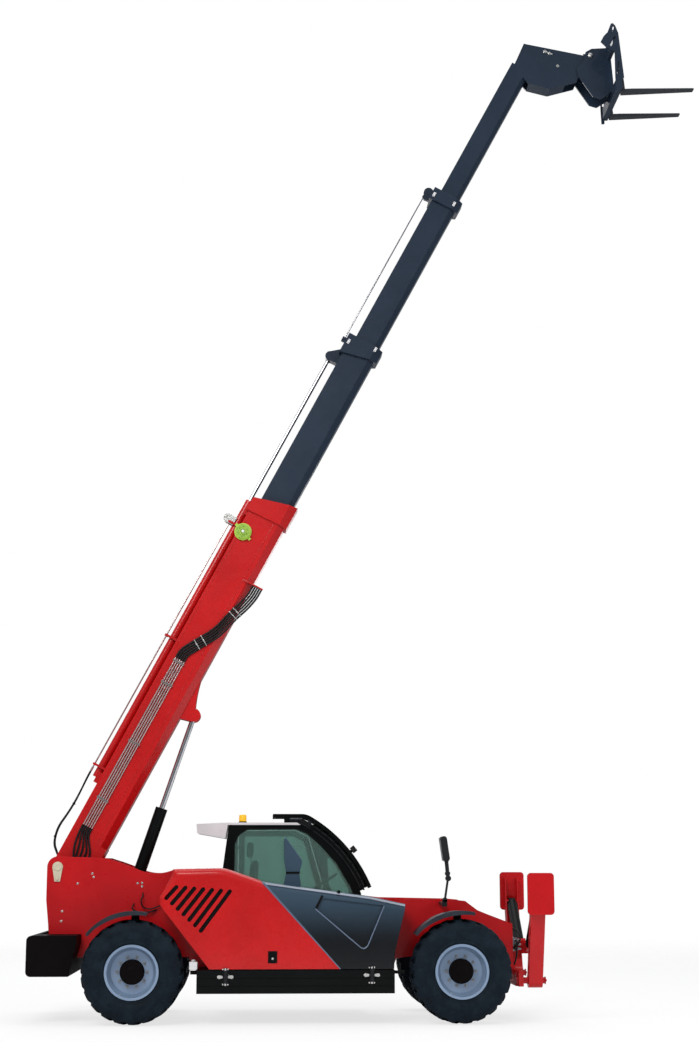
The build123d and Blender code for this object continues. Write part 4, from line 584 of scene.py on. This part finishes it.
def side_plate(form, outline, y, thickness):
    """An outline of (x, z) pushed outward from y on the right-hand side."""
    prism(form, outline, place(0, y, 0), X, Z, thickness)


def strip_outline(start, end, width, shift=0):
    """A straight strip between two points, drawn to one side of their line."""
    along = Vector((end[0] - start[0], end[1] - start[1])).normalized()
    square = Vector((-along.y, along.x))
    corners = []
    for point, offset in ((start, shift), (end, shift), (end, shift + width), (start, shift + width)):
        corners.append((point[0] + square.x * offset, point[1] + square.y * offset))
    return corners


@draws("hood", GASKET)
def slot_painted_shade(form):
    # A black ribbed sheet just inside the slots: painted shade for the hood's inside seen through them.
    side_plate(form, ((345, 1330), (480, 1540), (1130, 1490), (1120, 1440), (760, 960), (700, 960)), -1132, 4)
    for k in range(26):  # ribs of the dark sheet behind the slots, painted shade
        top = along_line((480, 1530), (1120, 1478), k / 25)
        foot = along_line((360, 1345), (745, 975), k / 25)
        side_plate(form, strip_outline(foot, top, 7), -1136, 4)


@draws("hood", SLATE_LIGHT, bevel=1)
def split_trim(form):
    """Strip between the red and the slate panel, wider at its top."""
    side_plate(form, ((2300, 600), (2314, 600), (1462, 1536), (1420, 1550)), HOOD_Y, 3)


@draws("hood", SLATE_LIGHT, smooth=40)
def pan_bead(form):
    line = ((2024, 1256), (2535, 830), (2572, 820), (2610, 850), (2797, 1290))
    rods(form, [place(x, HOOD_Y - 1, z) for x, z in line], 7.5, 10)


@draws("hood", GASKET, bevel=0.8)
def handle_recess_painted_shade(form):
    # A thin dark plate on the panel: painted shade of the handle's recess.
    side_plate(form, strip_outline((2034, 1262), (2106, 1400), 26, -13), HOOD_Y, 2)


@draws("hood", BLACK, bevel=2)
def hood_latch(form):
    side_plate(form, rectangle(1503, 666, 1604, 796), HOOD_Y, 6)
    side_plate(form, rectangle(1512, 676, 1595, 786), HOOD_Y - 6, 3)
    side_plate(form, ((1528, 752), (1580, 752), (1574, 776), (1534, 776)), HOOD_Y - 9, 8)


@draws("hood", BRIGHT, smooth=35)
def hood_key(form):
    lathe(form, place(1553, HOOD_Y - 9, 716), RIGHT, ((0, 13), (4, 12), (4, 6), (2, 5)), 24)


@draws("hood", BLACK, smooth=35)
def hood_lock(form):
    lathe(form, place(2287, HOOD_Y + 24, 1440), RIGHT, ((0, 20), (30, 20), (33, 16), (33, 8), (30, 7)), 24)


SKIRT_Y = -1160
SKIRT_LATCHES = ((1033, 519), (2655, 536))


@draws("chassis", MOULDED, bevel=2)
def latch_straps(form):
    strap = ((-16, -95), (16, -95), (22, -70), (22, 70), (16, 95), (-16, 95))
    for x, z in SKIRT_LATCHES:
        side_plate(form, [(x + a, z + b) for a, b in strap], SKIRT_Y, 9)
        side_plate(form, rectangle(x - 30, z - 10, x + 30, z + 10), SKIRT_Y - 9, 9)


@draws("chassis", BRIGHT, bevel=1.5)
def latch_wings(form):
    wing = ((30, -12), (72, -20), (90, -8), (90, 10), (72, 20), (30, 12))
    for x, z in SKIRT_LATCHES:
        for way in (-1, 1):
            side_plate(form, [(x + way * a, z + b) for a, b in wing], SKIRT_Y, 9)
        for rise in (-82, 82):
            bolt(form, place(x, SKIRT_Y - 9, z + rise), RIGHT, 8, 6)
            for shift in (-28, 28):
                bolt(form, place(x + shift, SKIRT_Y, z + rise), RIGHT, 6, 5)


@draws("hood", PAINTED_HIGHLIGHT, bevel=0.8)
def hood_painted_highlight(form):
    """Pale strip along the upper edge of the slate panel: a painted highlight for the sky's reflection on
    that edge.
    """
    line = ((1440, 1549), (2646, 1385), (3030, 1304))
    for start, end in zip(line, line[1:]):
        side_plate(form, strip_outline(start, end, -20, -4), HOOD_Y, 2)


@draws("chassis", WHITE, bevel=8, segments=3)
def reservoir(form):
    block(form, place(675, -1010, 636), (92, 200, 88))
    lathe(form, place(675, -1010, 680), Z, ((0, 26), (18, 26), (20, 0)), 24)


@draws("chassis", BLACK, smooth=35)
def step_tube(form):
    """Two stubs of tube under the skirt's ends, clear of the tyres."""
    rod(form, place(640, -1010, 560), place(760, -1010, 560), 22, 20)
    rod(form, place(2880, -1010, 560), place(3030, -1010, 560), 18, 20)


# -------------------- tower and chassis
TOWER_SCREWS = ((-523, 1639), (-508, 1599), (-688, 1526), (-1, 1529), (50, 1532), (50, 1492), (-857, 1215),
                (-864, 1103))
PLATE_Y = 430  # outer face of the tower's plates


@draws("chassis", BRIGHT, smooth=30)
def tower_screws(form):
    for side in (-1, 1):
        for x, z in TOWER_SCREWS:
            bolt(form, place(x, side * PLATE_Y, z), Y * side, 9, 6)


@draws("chassis", CREAM, smooth=35)
def keeper_boss(form):
    """Ring over each end of the boom's foot pin, and the screw of its keeper."""
    for side in (-1, 1):
        face = side * (PLATE_Y + 14)
        bolt(form, place(PIVOT[0], face, 1577), Y * side, 13, 10)
        lathe(form, place(PIVOT[0], face, PIVOT[1]), Y * side, ((0, 47), (6, 44), (6, 20), (3, 17)), 40)


for name, points in {
        "tower_hose_upper": ((60, -433, 1420), (70, -462, 1400), (40, -478, 1330), (60, -474, 1262),
                             (140, -470, 1232), (230, -466, 1262), (290, -448, 1290), (300, -433, 1292)),
        "tower_hose_lower": ((-40, -433, 1300), (-40, -465, 1290), (-60, -486, 1240), (10, -490, 1206),
                             (130, -480, 1200), (210, -455, 1226), (220, -433, 1230))}.items():
    hose(name, "chassis", [place(*point) for point in points], 8)


# -------------------- boom
BOOM_AXES = (ALONG, ACROSS, UPWARD)
REEL = (4494, 30)


def tilted(turn):
    """The boom's own axes, turned in its side view."""
    along = ALONG * math.cos(turn) + UPWARD * math.sin(turn)
    return along, UPWARD * math.cos(turn) - ALONG * math.sin(turn)


@draws("boom", BRIGHT, bevel=2)
def bundle_clamps(form):
    for s, n, turn in ((3030, -144, -0.54), (3110, -192, -0.54), (3540, -356, -0.34), (3600, -378, -0.34)):
        along, up = tilted(turn)
        block(form, boom(s, n, -214), (11, 27, 140), (along, ACROSS, up))
        bolt(form, boom(s, n, -227), RIGHT, 6, 5)


@draws("boom", BRIGHT, bevel=2)
def boom_bracket(form):
    plate = ((4530, 190), (4640, 190), (4640, 300), (4612, 345), (4566, 345), (4530, 300))
    for y in (-52, 40):
        prism(form, plate, boom(0, 0, y), ALONG, UPWARD, 12)
    rod(form, boom(4590, 318, -60), boom(4590, 318, 60), 11)
    bolt(form, boom(4590, 318, -60), RIGHT, 16)


@draws("boom", GASKET, smooth=40)
def hose_ties(form):
    """Bands round the pair of hanging hoses."""
    for s, n, turn in ((706, 237, 0.03), (273, 243, 0.42)):
        along, up = tilted(turn)
        turns = [FULL_TURN * k / 24 for k in range(24)]
        line = [(30 * math.cos(a) + math.copysign(13, math.cos(a)), 16 * math.sin(a)) for a in turns]
        inner = [(a * 0.86, b * 0.80) for a, b in line]
        rings = [[form.verts.new(boom(s, n) + (along * reach + ACROSS * a + up * b) / 1000)
                  for a, b in outline]
                 for reach, outline in ((-8, line), (8, line), (8, inner), (-8, inner))]
        join_rings(form, rings, closed=True)


@draws("boom", REEL_PAINTED_SHADE, smooth=35)
def reel_rings(form):
    """The reel's cap, grooved rings round it, and its ring of screws, in a darker green: painted shade."""
    lathe(form, boom(*REEL, -266), RIGHT, ((0, 36), (3, 35), (3, 28), (1, 27)), 40)
    for inner, outer in ((50, 56), (66, 71), (80, 84)):
        lathe(form, boom(*REEL, -252), RIGHT, ((0, inner), (3.5, inner), (3.5, outer), (0, outer)), 56,
              capped=False)
    for k in range(6):
        turn = FULL_TURN * k / 6 + 0.3
        bolt(form, boom(REEL[0] + 61 * math.cos(turn), REEL[1] + 61 * math.sin(turn), -252), RIGHT, 5.5, 5)


@draws("boom", WHITE, bevel=1)
def reel_plate(form):
    block(form, boom(*REEL, -268), (30, 4, 30), BOOM_AXES)


@draws("boom", RED, smooth=40)
def side_crease(form):
    """Seam beads along both sides of the outer section."""
    for side in (-1, 1):
        for n, end in ((62, 4790), (-250, 4840)):
            rod(form, boom(430, n, side * 200), boom(end, n, side * 200), 3.5, 8)


# The section that carries them, its half width, and where its pads' covers are.
WEAR_PADS = (("boom_second", 212, ((7225, 30), (7290, -310))),
             ("boom_third", 187, ((9455, -10), (9462, -290))))


def pad_covers(form, half_width, spots):
    for side in (-1, 1):
        for s, n in spots:
            block(form, boom(s, n, side * (half_width + 3)), (60, 6, 30), BOOM_AXES)


def pad_screws(form, half_width, spots):
    for side in (-1, 1):
        for s, n in spots:
            for shift in (-18, 18):
                bolt(form, boom(s + shift, n, side * (half_width + 6)), Y * side, 6, 5, washer=False)


for body, half_width, spots in WEAR_PADS:
    piece(f"{body}_pads", body, WHITE, lambda form: pad_covers(form, half_width, spots), bevel=2)
    piece(f"{body}_pad_screws", body, STEEL, lambda form: pad_screws(form, half_width, spots))


# -------------------- boom head and carriage
PIN = (5565.5, 11997.1)  # x and z of the carriage's pin


def by_pin(x, y, z):
    return place(PIN[0] + x, y, PIN[1] + z)


@draws("boom_fourth", BRIGHT, smooth=30)
def head_ports(form):
    """Plated hose ports on the head's sides, with the pipe between them."""
    for side in (-1, 1):
        for x, z in ((4981, 12049), (5040, 12022)):
            lathe(form, place(x, side * 120, z), Y * side, ((0, 22), (10, 22), (12, 16), (30, 16)), 6)
        rod(form, place(4960, side * 138, 12058), place(5075, side * 138, 12008), 7)


@draws("boom_fourth", SLATE, smooth=40)
def head_welds(form):
    """Bead where each side plate meets the section."""
    for side in (-1, 1):
        rod(form, by_pin(-990, side * 120, -164), by_pin(-849, side * 120, 158), 6, 10)


@draws("carriage", BRIGHT, smooth=35)
def pin_caps(form):
    for side in (-1, 1):
        lathe(form, by_pin(0, side * 162, 0), Y * side, ((0, 30), (6, 30), (8, 26)), 32)
        bolt(form, by_pin(0, side * 170, 0), Y * side, 12, 10)
        rod(form, by_pin(-422, side * 119, -140), by_pin(-422, side * 126, -140), 20)


# -------------------- cab
CAB_Y = 806  # the cab's middle
SCREEN_X, SCREEN_Z, SCREEN_RADIUS = 1150, 811, 1588
BEACON = (1187, 860)
GUARD_ROWS = [500 + 56 * k for k in range(12)]
LAMP = place(2538, 514, 1923)
LAMP_TURN = math.radians(38.7)
LAMP_OUT = Vector((math.cos(LAMP_TURN), 0, math.sin(LAMP_TURN)))
LAMP_UP = LAMP_OUT.cross(Y)
INTAKE_Y = -800


def on_screen(lift, turn, y):
    """A point lift off the screen's curve, turn degrees up from straight ahead of the curve's centre."""
    radius, angle = SCREEN_RADIUS + lift, math.radians(turn)
    return place(SCREEN_X + radius * math.cos(angle), y, SCREEN_Z + radius * math.sin(angle))


@draws("chassis", BLACK, smooth=35, stands_for=("lamps",))
def beacon_base(form):
    lathe(form, place(*BEACON, 2240), Z, ((0, 52), (12, 52), (16, 48), (22, 47)), 40)


@draws("chassis", AMBER, smooth=40, stands_for=("lamps",))
def beacon_lens(form):
    lathe(form, place(*BEACON, 2262), Z, ((0, 46), (66, 45), (80, 40), (86, 24), (88, 0)), 40)


def lamp_block(form, out, up, size):
    block(form, LAMP + (LAMP_OUT * out + LAMP_UP * up) / 1000, size, (LAMP_OUT, Y, LAMP_UP))


@draws("chassis", MOULDED, bevel=3, stands_for=("lamps",))
def work_lamp(form):
    lamp_block(form, 0, 0, (52, 88, 78))
    lamp_block(form, -40, 0, (40, 26, 40))
    for k in range(5):  # cooling ribs
        lamp_block(form, -14, 16 * (k - 2), (46, 92, 5))


@draws("chassis", BLACK, smooth=40)
def wiper(form):
    hub = on_screen(14, 26, CAB_Y)
    lathe(form, hub, hub - place(SCREEN_X, CAB_Y, SCREEN_Z), ((-12, 18), (12, 16)), 20)
    for k in range(7):  # arm, then blade
        turn = 26 + 2.2 * k
        rod(form, on_screen(16, turn, CAB_Y - 9 * k), on_screen(16, turn + 2.2, CAB_Y - 9 * k - 9), 6, 8)
        rod(form, on_screen(9, 31 + 3 * k, 748 - 3 * k), on_screen(9, 34 + 3 * k, 745 - 3 * k), 8, 8)


@draws("chassis", FENDER, bevel=3, smooth=40)
def roof_lamps(form):
    """Two long round lamps with a plate between the roof and the guard, and two blocks ahead."""
    for y in (600, 1010):
        lathe(form, place(1705, y, 2258), X, ((0, 34), (12, 40), (200, 40), (210, 34)), 32)
    block(form, place(1860, CAB_Y, 2222), (170, 600, 26))
    for y in (520, 1092):
        block(form, place(2024, y, 2268), (52, 40, 50))


@draws("chassis", BLACK, smooth=60)
def guard_mesh(form):
    """Rows of bars that follow the screen, a thick one in each row with a thin one outside it."""
    for y in GUARD_ROWS:
        for lift, radius in ((78, 11), (104, 8)):
            rods(form, [on_screen(lift, 57 - 33.5 * k / 18, y) for k in range(19)], radius, 6)


@draws("chassis", MOULDED, smooth=60)
def guard_stays(form):
    """Short stays under the guard's bars, staggered from row to row, and rails along its two edges."""
    for row, y in enumerate(GUARD_ROWS):
        for k in range(13):
            turn = 56 - 2.5 * k - 0.19 * row
            rod(form, on_screen(28, turn, y), on_screen(80, turn, y), 6.5, 6)
    for y in (GUARD_ROWS[0], GUARD_ROWS[-1]):
        for lift in (15, 41, 64):
            rods(form, [on_screen(lift, 63 - 39 * k / 20, y) for k in range(21)], 12.5, 8)


@draws("hood", HOOD_SLATE, bevel=16, segments=3, smooth=35, stands_for=("intake",))
def intake_shell(form):
    """Air intake beside the cab: a neck on a flange, and a hooded mouth that looks back."""
    neck = 1640
    outline = ((1660, 1452), (1700, neck), (1680, 1790), (1678, 2036), (1700, 2040), (1884, 1790),
               (1880, 1740), (1850, neck), (1884, 1440))
    join_rings(form, [[form.verts.new(place(x, INTAKE_Y - way * (71.76 if z == neck else 92), z))
                       for x, z in outline] for way in (1, -1)])
    block(form, place(1772, INTAKE_Y, 1460), (270, 215, 22), (X - Z * 0.13, Y, Z + X * 0.13))


@draws("hood", BLACK, bevel=3, stands_for=("intake",))
def intake_band(form):
    block(form, place(1778, INTAKE_Y, 1650), (160, 156, 22))
    for k in range(6):  # slats in the mouth
        block(form, place(1676, INTAKE_Y, 1815 + 34 * k), (12, 150, 8))


@draws("chassis", MIRROR_GLASS, bevel=1)
def mirror_face(form):
    turn = math.radians(8)
    out = Vector((math.cos(turn), 0, math.sin(turn)))
    block(form, place(3512, -800, 1917) - out * (39 / 1000), (4, 150, 256), (out, Y, out.cross(Y)))


@draws("chassis", MOULDED, smooth=35)
def mirror_joints(form):
    for x, z, radius in ((3533, 1792, 27), (3545, 1640, 27), (3552, 1585, 30), (3512, 1345, 26)):
        lathe(form, place(x, -830, z), Y, ((0, radius), (4, radius + 2), (56, radius + 2), (60, radius)), 24)


LEVER_Y = 526
LEVERS = ((1720, 18), (1830, 10))  # x of the foot, and how far the top leans


@draws("chassis", MOULDED, smooth=40)
def levers(form):
    for x, lean in LEVERS:
        rod(form, place(x, LEVER_Y, 1325), place(x + lean, LEVER_Y, 1420), 7, 12)
        lathe(form, place(x + lean, LEVER_Y, 1412), Z, ((0, 10), (20, 20), (50, 24), (75, 18), (85, 0)), 20)


@draws("chassis", RUBBER, smooth=30)
def lever_boots(form):
    for x, _ in LEVERS:
        lathe(form, place(x, LEVER_Y, 1329), Z,
              ((0, 30), (10, 30), (14, 24), (22, 26), (28, 18), (36, 18), (40, 8)), 24)


@draws("door", BLACK, bevel=2, smooth=40)
def door_handle(form):
    block(form, place(1330, 1168, 1215), (140, 10, 62))
    rod(form, place(1280, 1184, 1205), place(1378, 1184, 1205), 10)
    for x in (1282, 1376):
        rod(form, place(x, 1164, 1205), place(x, 1186, 1205), 8)


def gasket_ring(form, outline, y):
    rods(form, [place(x, y, z) for x, z in (*outline, outline[0])], 8, 8)


RIGHT_WINDOW = ((1085, 1360), (1092, 1990), (1150, 2105), (1250, 2163), (1845, 2166), (1966, 2120),
                (2120, 1990), (2330, 1765), (2512, 1459), (2545, 1360))
DOOR_WINDOW = ((1205, 1300), (1205, 2088), (1815, 2092), (1950, 2025), (2105, 1490), (2105, 1300))

piece("lamp_glass", "chassis", LENS, lambda form: lamp_block(form, 28, 0, (6, 76, 66)), bevel=1)
piece("right_gasket", "chassis", GASKET, lambda form: gasket_ring(form, RIGHT_WINDOW, 456), smooth=40)
piece("door_gasket", "door", GASKET, lambda form: gasket_ring(form, DOOR_WINDOW, 1158), smooth=40)


# -------------------- stabilisers and nose
def foot_bolts(form, side):
    for x in (4433, 4673):
        for z in (1235, 1599):
            bolt(form, place(x, side * 1166, z), Y * side, 12, 10)


def arm_pin_caps(form, side):
    for way, x in ((-1, 4451), (1, 4643)):
        lathe(form, place(x, side * 770, 450), X * way, ((0, 44), (8, 44), (10, 40)), 32)
        bolt(form, place(x + way * 10, side * 770, 450), X * way, 14, 10)


@draws("chassis", STEEL, bevel=2)
def nose_block(form):
    """Valve blocks on both sides of the nose, and the fittings that screw into them."""
    for side in (-1, 1):
        block(form, place(4362, side * 330, 830), (60, 120, 150))
        for z in (780, 830, 880):
            for x, y, axis, length in ((4392, 330, X, 50), (4362, 390, Y * side, 40)):
                lathe(form, place(x, side * y, z), axis, ((0, 17), (18, 17), (20, 13), (length, 13)), 6)


for side_name, side in SIDES:
    piece(f"foot_bolts_{side_name}", f"stabiliser_{side_name}", RED_PAINTED_SHADE, lambda form: foot_bolts(form, side),
          smooth=30)
    piece(f"arm_pin_caps_{side_name}", "chassis", RED_PAINTED_SHADE, lambda form: arm_pin_caps(form, side), bevel=2,
          smooth=35)
    hose(f"ram_hose_{side_name}", "chassis",
         [place(x, side * y, z) for x, y, z in
          ((4300, 300, 1010), (4345, 330, 1012), (4395, 400, 990), (4420, 470, 930), (4400, 480, 850),
           (4350, 440, 800), (4330, 400, 790))], 10)
    for k, rise in enumerate((50, 0, -50)):
        hose(f"nose_hose_{side_name}_{k}", "chassis",
             [place(x, side * y, z) for x, y, z in
              ((4362, 428, 830 + rise), (4366, 455, 836 + rise), (4376, 475, 800 + rise), (4368, 470, 700),
               (4352, 440 - 12 * k, 620), (4340, 400 - 14 * k, 600), (4331, 380 - 14 * k, 600))], 9)


# -------------------- seat
SIDE_SEAM = 0.72  # where the pad's side seams run, as a share of its half width


def cushion_form(form, half_length, half_width, half_height, channels, rows=40):
    """A crowned pad: its sides draw in between the corners and sewn channels cross its top."""
    def point(u, v, face):
        a = half_length * u * (1 - 0.035 * (1 - v * v))
        b = half_width * v * (1 - 0.035 * (1 - u * u))
        edge = (1 - abs(u) ** 5) * (1 - abs(v) ** 5)
        rise = half_height * (0.45 + 0.55 * edge ** 0.35)
        if face > 0:
            for channel in channels:
                rise -= 12 * math.exp(-((u * half_length - channel) / 8) ** 2) * edge
            rise -= 10 * math.exp(-((abs(v) - SIDE_SEAM) * half_width / 8) ** 2) * edge
            rise += 16 * max(0, abs(v) - SIDE_SEAM) * edge
        return Vector((a, b, face * rise)) / 1000
    grids = []
    for face in (-1, 1):
        g = [[form.verts.new(point(2 * i / rows - 1, 2 * j / rows - 1, face)) for j in range(rows + 1)]
             for i in range(rows + 1)]
        for i in range(rows):
            for j in range(rows):
                form.faces.new((g[i][j], g[i + 1][j], g[i + 1][j + 1], g[i][j + 1]))
        grids.append(g)
    rims = [[row[0] for row in g] + g[-1][1:] + [row[-1] for row in g[-2::-1]] + g[0][-2:0:-1] for g in grids]
    for k in range(len(rims[0])):
        m = (k + 1) % len(rims[0])
        form.faces.new((rims[0][k], rims[0][m], rims[1][m], rims[1][k]))


def cushion(name, centre, size, lean, channels):
    """Places a pad so that its length runs along the lean, its crown away from what carries it."""
    turn = Matrix.Rotation(math.radians(lean), 4, "Y")

    def build(form):
        cushion_form(form, *(length / 2 for length in size), channels)
        bmesh.ops.transform(form, matrix=Matrix.Translation(centre) @ turn, verts=form.verts)
    made = piece(name, "chassis", FABRIC, build, smooth=60, stands_for=("seat",))


@draws("chassis", MOULDED, bevel=4, stands_for=("seat",))
def seat_stand(form):
    def layer(z, length, width, height, shift=0):
        block(form, place(1540, CAB_Y + shift, z), (length, width, height))
    layer(800, 360, 340, 30)
    for k in range(9):  # bellows round the suspension
        width = 302 if k % 2 else 290
        layer(832 + 34 * k, width, width, 34)
    layer(1136, 420, 400, 28)
    for shift in (-196, 196):  # slides
        layer(1150, 340, 24, 50, shift)


@draws("chassis", STEEL, smooth=40, stands_for=("seat",))
def head_rest_posts(form):
    for shift in (-60, 60):
        rod(form, place(1290, CAB_Y + shift, 1760), place(1284, CAB_Y + shift, 1860), 6)


cushion("seat_cushion", place(1545, CAB_Y, 1207), (490, 470, 120), 0, (-120, 0, 120))
cushion("seat_back", place(1318, CAB_Y, 1520), (540, 430, 110), -84, (-160, -40, 80))
cushion("head_rest", place(1282, CAB_Y, 1915), (180, 280, 85), -86, ())


# -------------------- stage, camera, light
FLOOR_RADIUS = 60000


def lay_floor():
    mesh = bpy.data.meshes.new("floor")
    form = bmesh.new()
    lathe(form, Vector((0, 0, -0.002)), Z, ((0, 0), (0, FLOOR_RADIUS)), 96, capped=False)
    form.to_mesh(mesh)
    form.free()
    floor = bpy.data.objects.new("floor", mesh)
    bpy.context.scene.collection.objects.link(floor)
    material = bpy.data.materials.new("pale_floor")
    material.use_nodes = True
    tree = material.node_tree
    tree.nodes.clear()
    coords = add_node(tree, "TexCoord").outputs["Object"]
    shade = mix(tree, noise(tree, coords, 0.6, 5), (0.92, 0.92, 0.92), (0.96, 0.96, 0.96))
    matt = add_node(tree, "BsdfPrincipled", {"Base Color": shade, "Roughness": 0.9})
    clear = add_node(tree, "BsdfTransparent")
    reach = add_node(tree, "VectorMath", {0: coords}, operation="LENGTH").outputs["Value"]
    fade = ramp(tree, reach, 6, 24)
    white = add_node(tree, "Emission", {"Color": (1, 1, 1, 1), "Strength": 1.0})
    seen = add_node(tree, "LightPath").outputs["Is Camera Ray"]
    lifted = add_node(tree, "MixShader", {0: math_node(tree, "MULTIPLY", seen, 0.72), 1: matt.outputs[0],
                                          2: white.outputs[0]})
    join = add_node(tree, "MixShader", {0: fade, 1: lifted.outputs[0], 2: clear.outputs[0]})
    add_node(tree, "OutputMaterial", {"Surface": join.outputs[0]})
    mesh.materials.append(material)


def light_world():
    world = bpy.data.worlds.new("studio")
    bpy.context.scene.world = world
    world.use_nodes = True
    tree = world.node_tree
    tree.nodes.clear()
    rays = add_node(tree, "LightPath").outputs
    seen = math_node(tree, "MAXIMUM", rays["Is Camera Ray"], rays["Is Transmission Ray"])
    direction = add_node(tree, "TexCoord").outputs["Generated"]
    height = z_part(tree, direction)
    sky = mix(tree, ramp(tree, height, -0.15, 0.55), (0.34, 0.36, 0.38), (0.95, 0.97, 1.0))
    soft = add_node(tree, "Background", {"Color": sky, "Strength": 0.48})
    white = add_node(tree, "Background", {"Color": (1, 1, 1, 1), "Strength": 1.0})
    join = add_node(tree, "MixShader", {0: seen, 1: soft.outputs[0], 2: white.outputs[0]})
    add_node(tree, "OutputWorld", {"Surface": join.outputs[0]})


def lamp(name, spot, target, size, power, colour=(1, 1, 1)):
    data = bpy.data.lights.new(name, "AREA")
    data.shape = "RECTANGLE"
    data.size, data.size_y = size
    data.energy = power
    data.color = colour
    made = bpy.data.objects.new(name, data)
    made.location = spot
    made.rotation_euler = (Vector(target) - Vector(spot)).to_track_quat("-Z", "Y").to_euler()
    bpy.context.scene.collection.objects.link(made)


def stand_camera():
    pitch, yaw = math.radians(10.80), math.radians(2.79)
    aim = Vector((math.sin(yaw) * math.cos(pitch), math.cos(yaw) * math.cos(pitch), math.sin(pitch)))
    data = bpy.data.cameras.new("camera")
    data.sensor_width = 36
    data.lens = 62.3
    data.clip_end = 200
    made = bpy.data.objects.new("camera", data)
    made.location = place(1405, -21710, 1735)
    made.rotation_euler = aim.to_track_quat("-Z", "Y").to_euler()
    bpy.context.scene.collection.objects.link(made)
    bpy.context.scene.camera = made


lay_floor()
light_world()
lamp("key", (-7, -13, 13), (0.5, 0, 3), (9, 7), 1650, (1, 0.99, 0.97))
lamp("fill", (12, -9, 7), (0, 0, 3), (8, 8), 620, (0.95, 0.97, 1))
lamp("top", (0, 3, 17), (0, 0, 2), (12, 12), 900)
lamp("back", (-3, 14, 9), (0, 0, 4), (9, 7), 450)
stand_camera()
bpy.context.scene.view_settings.view_transform = "Standard"
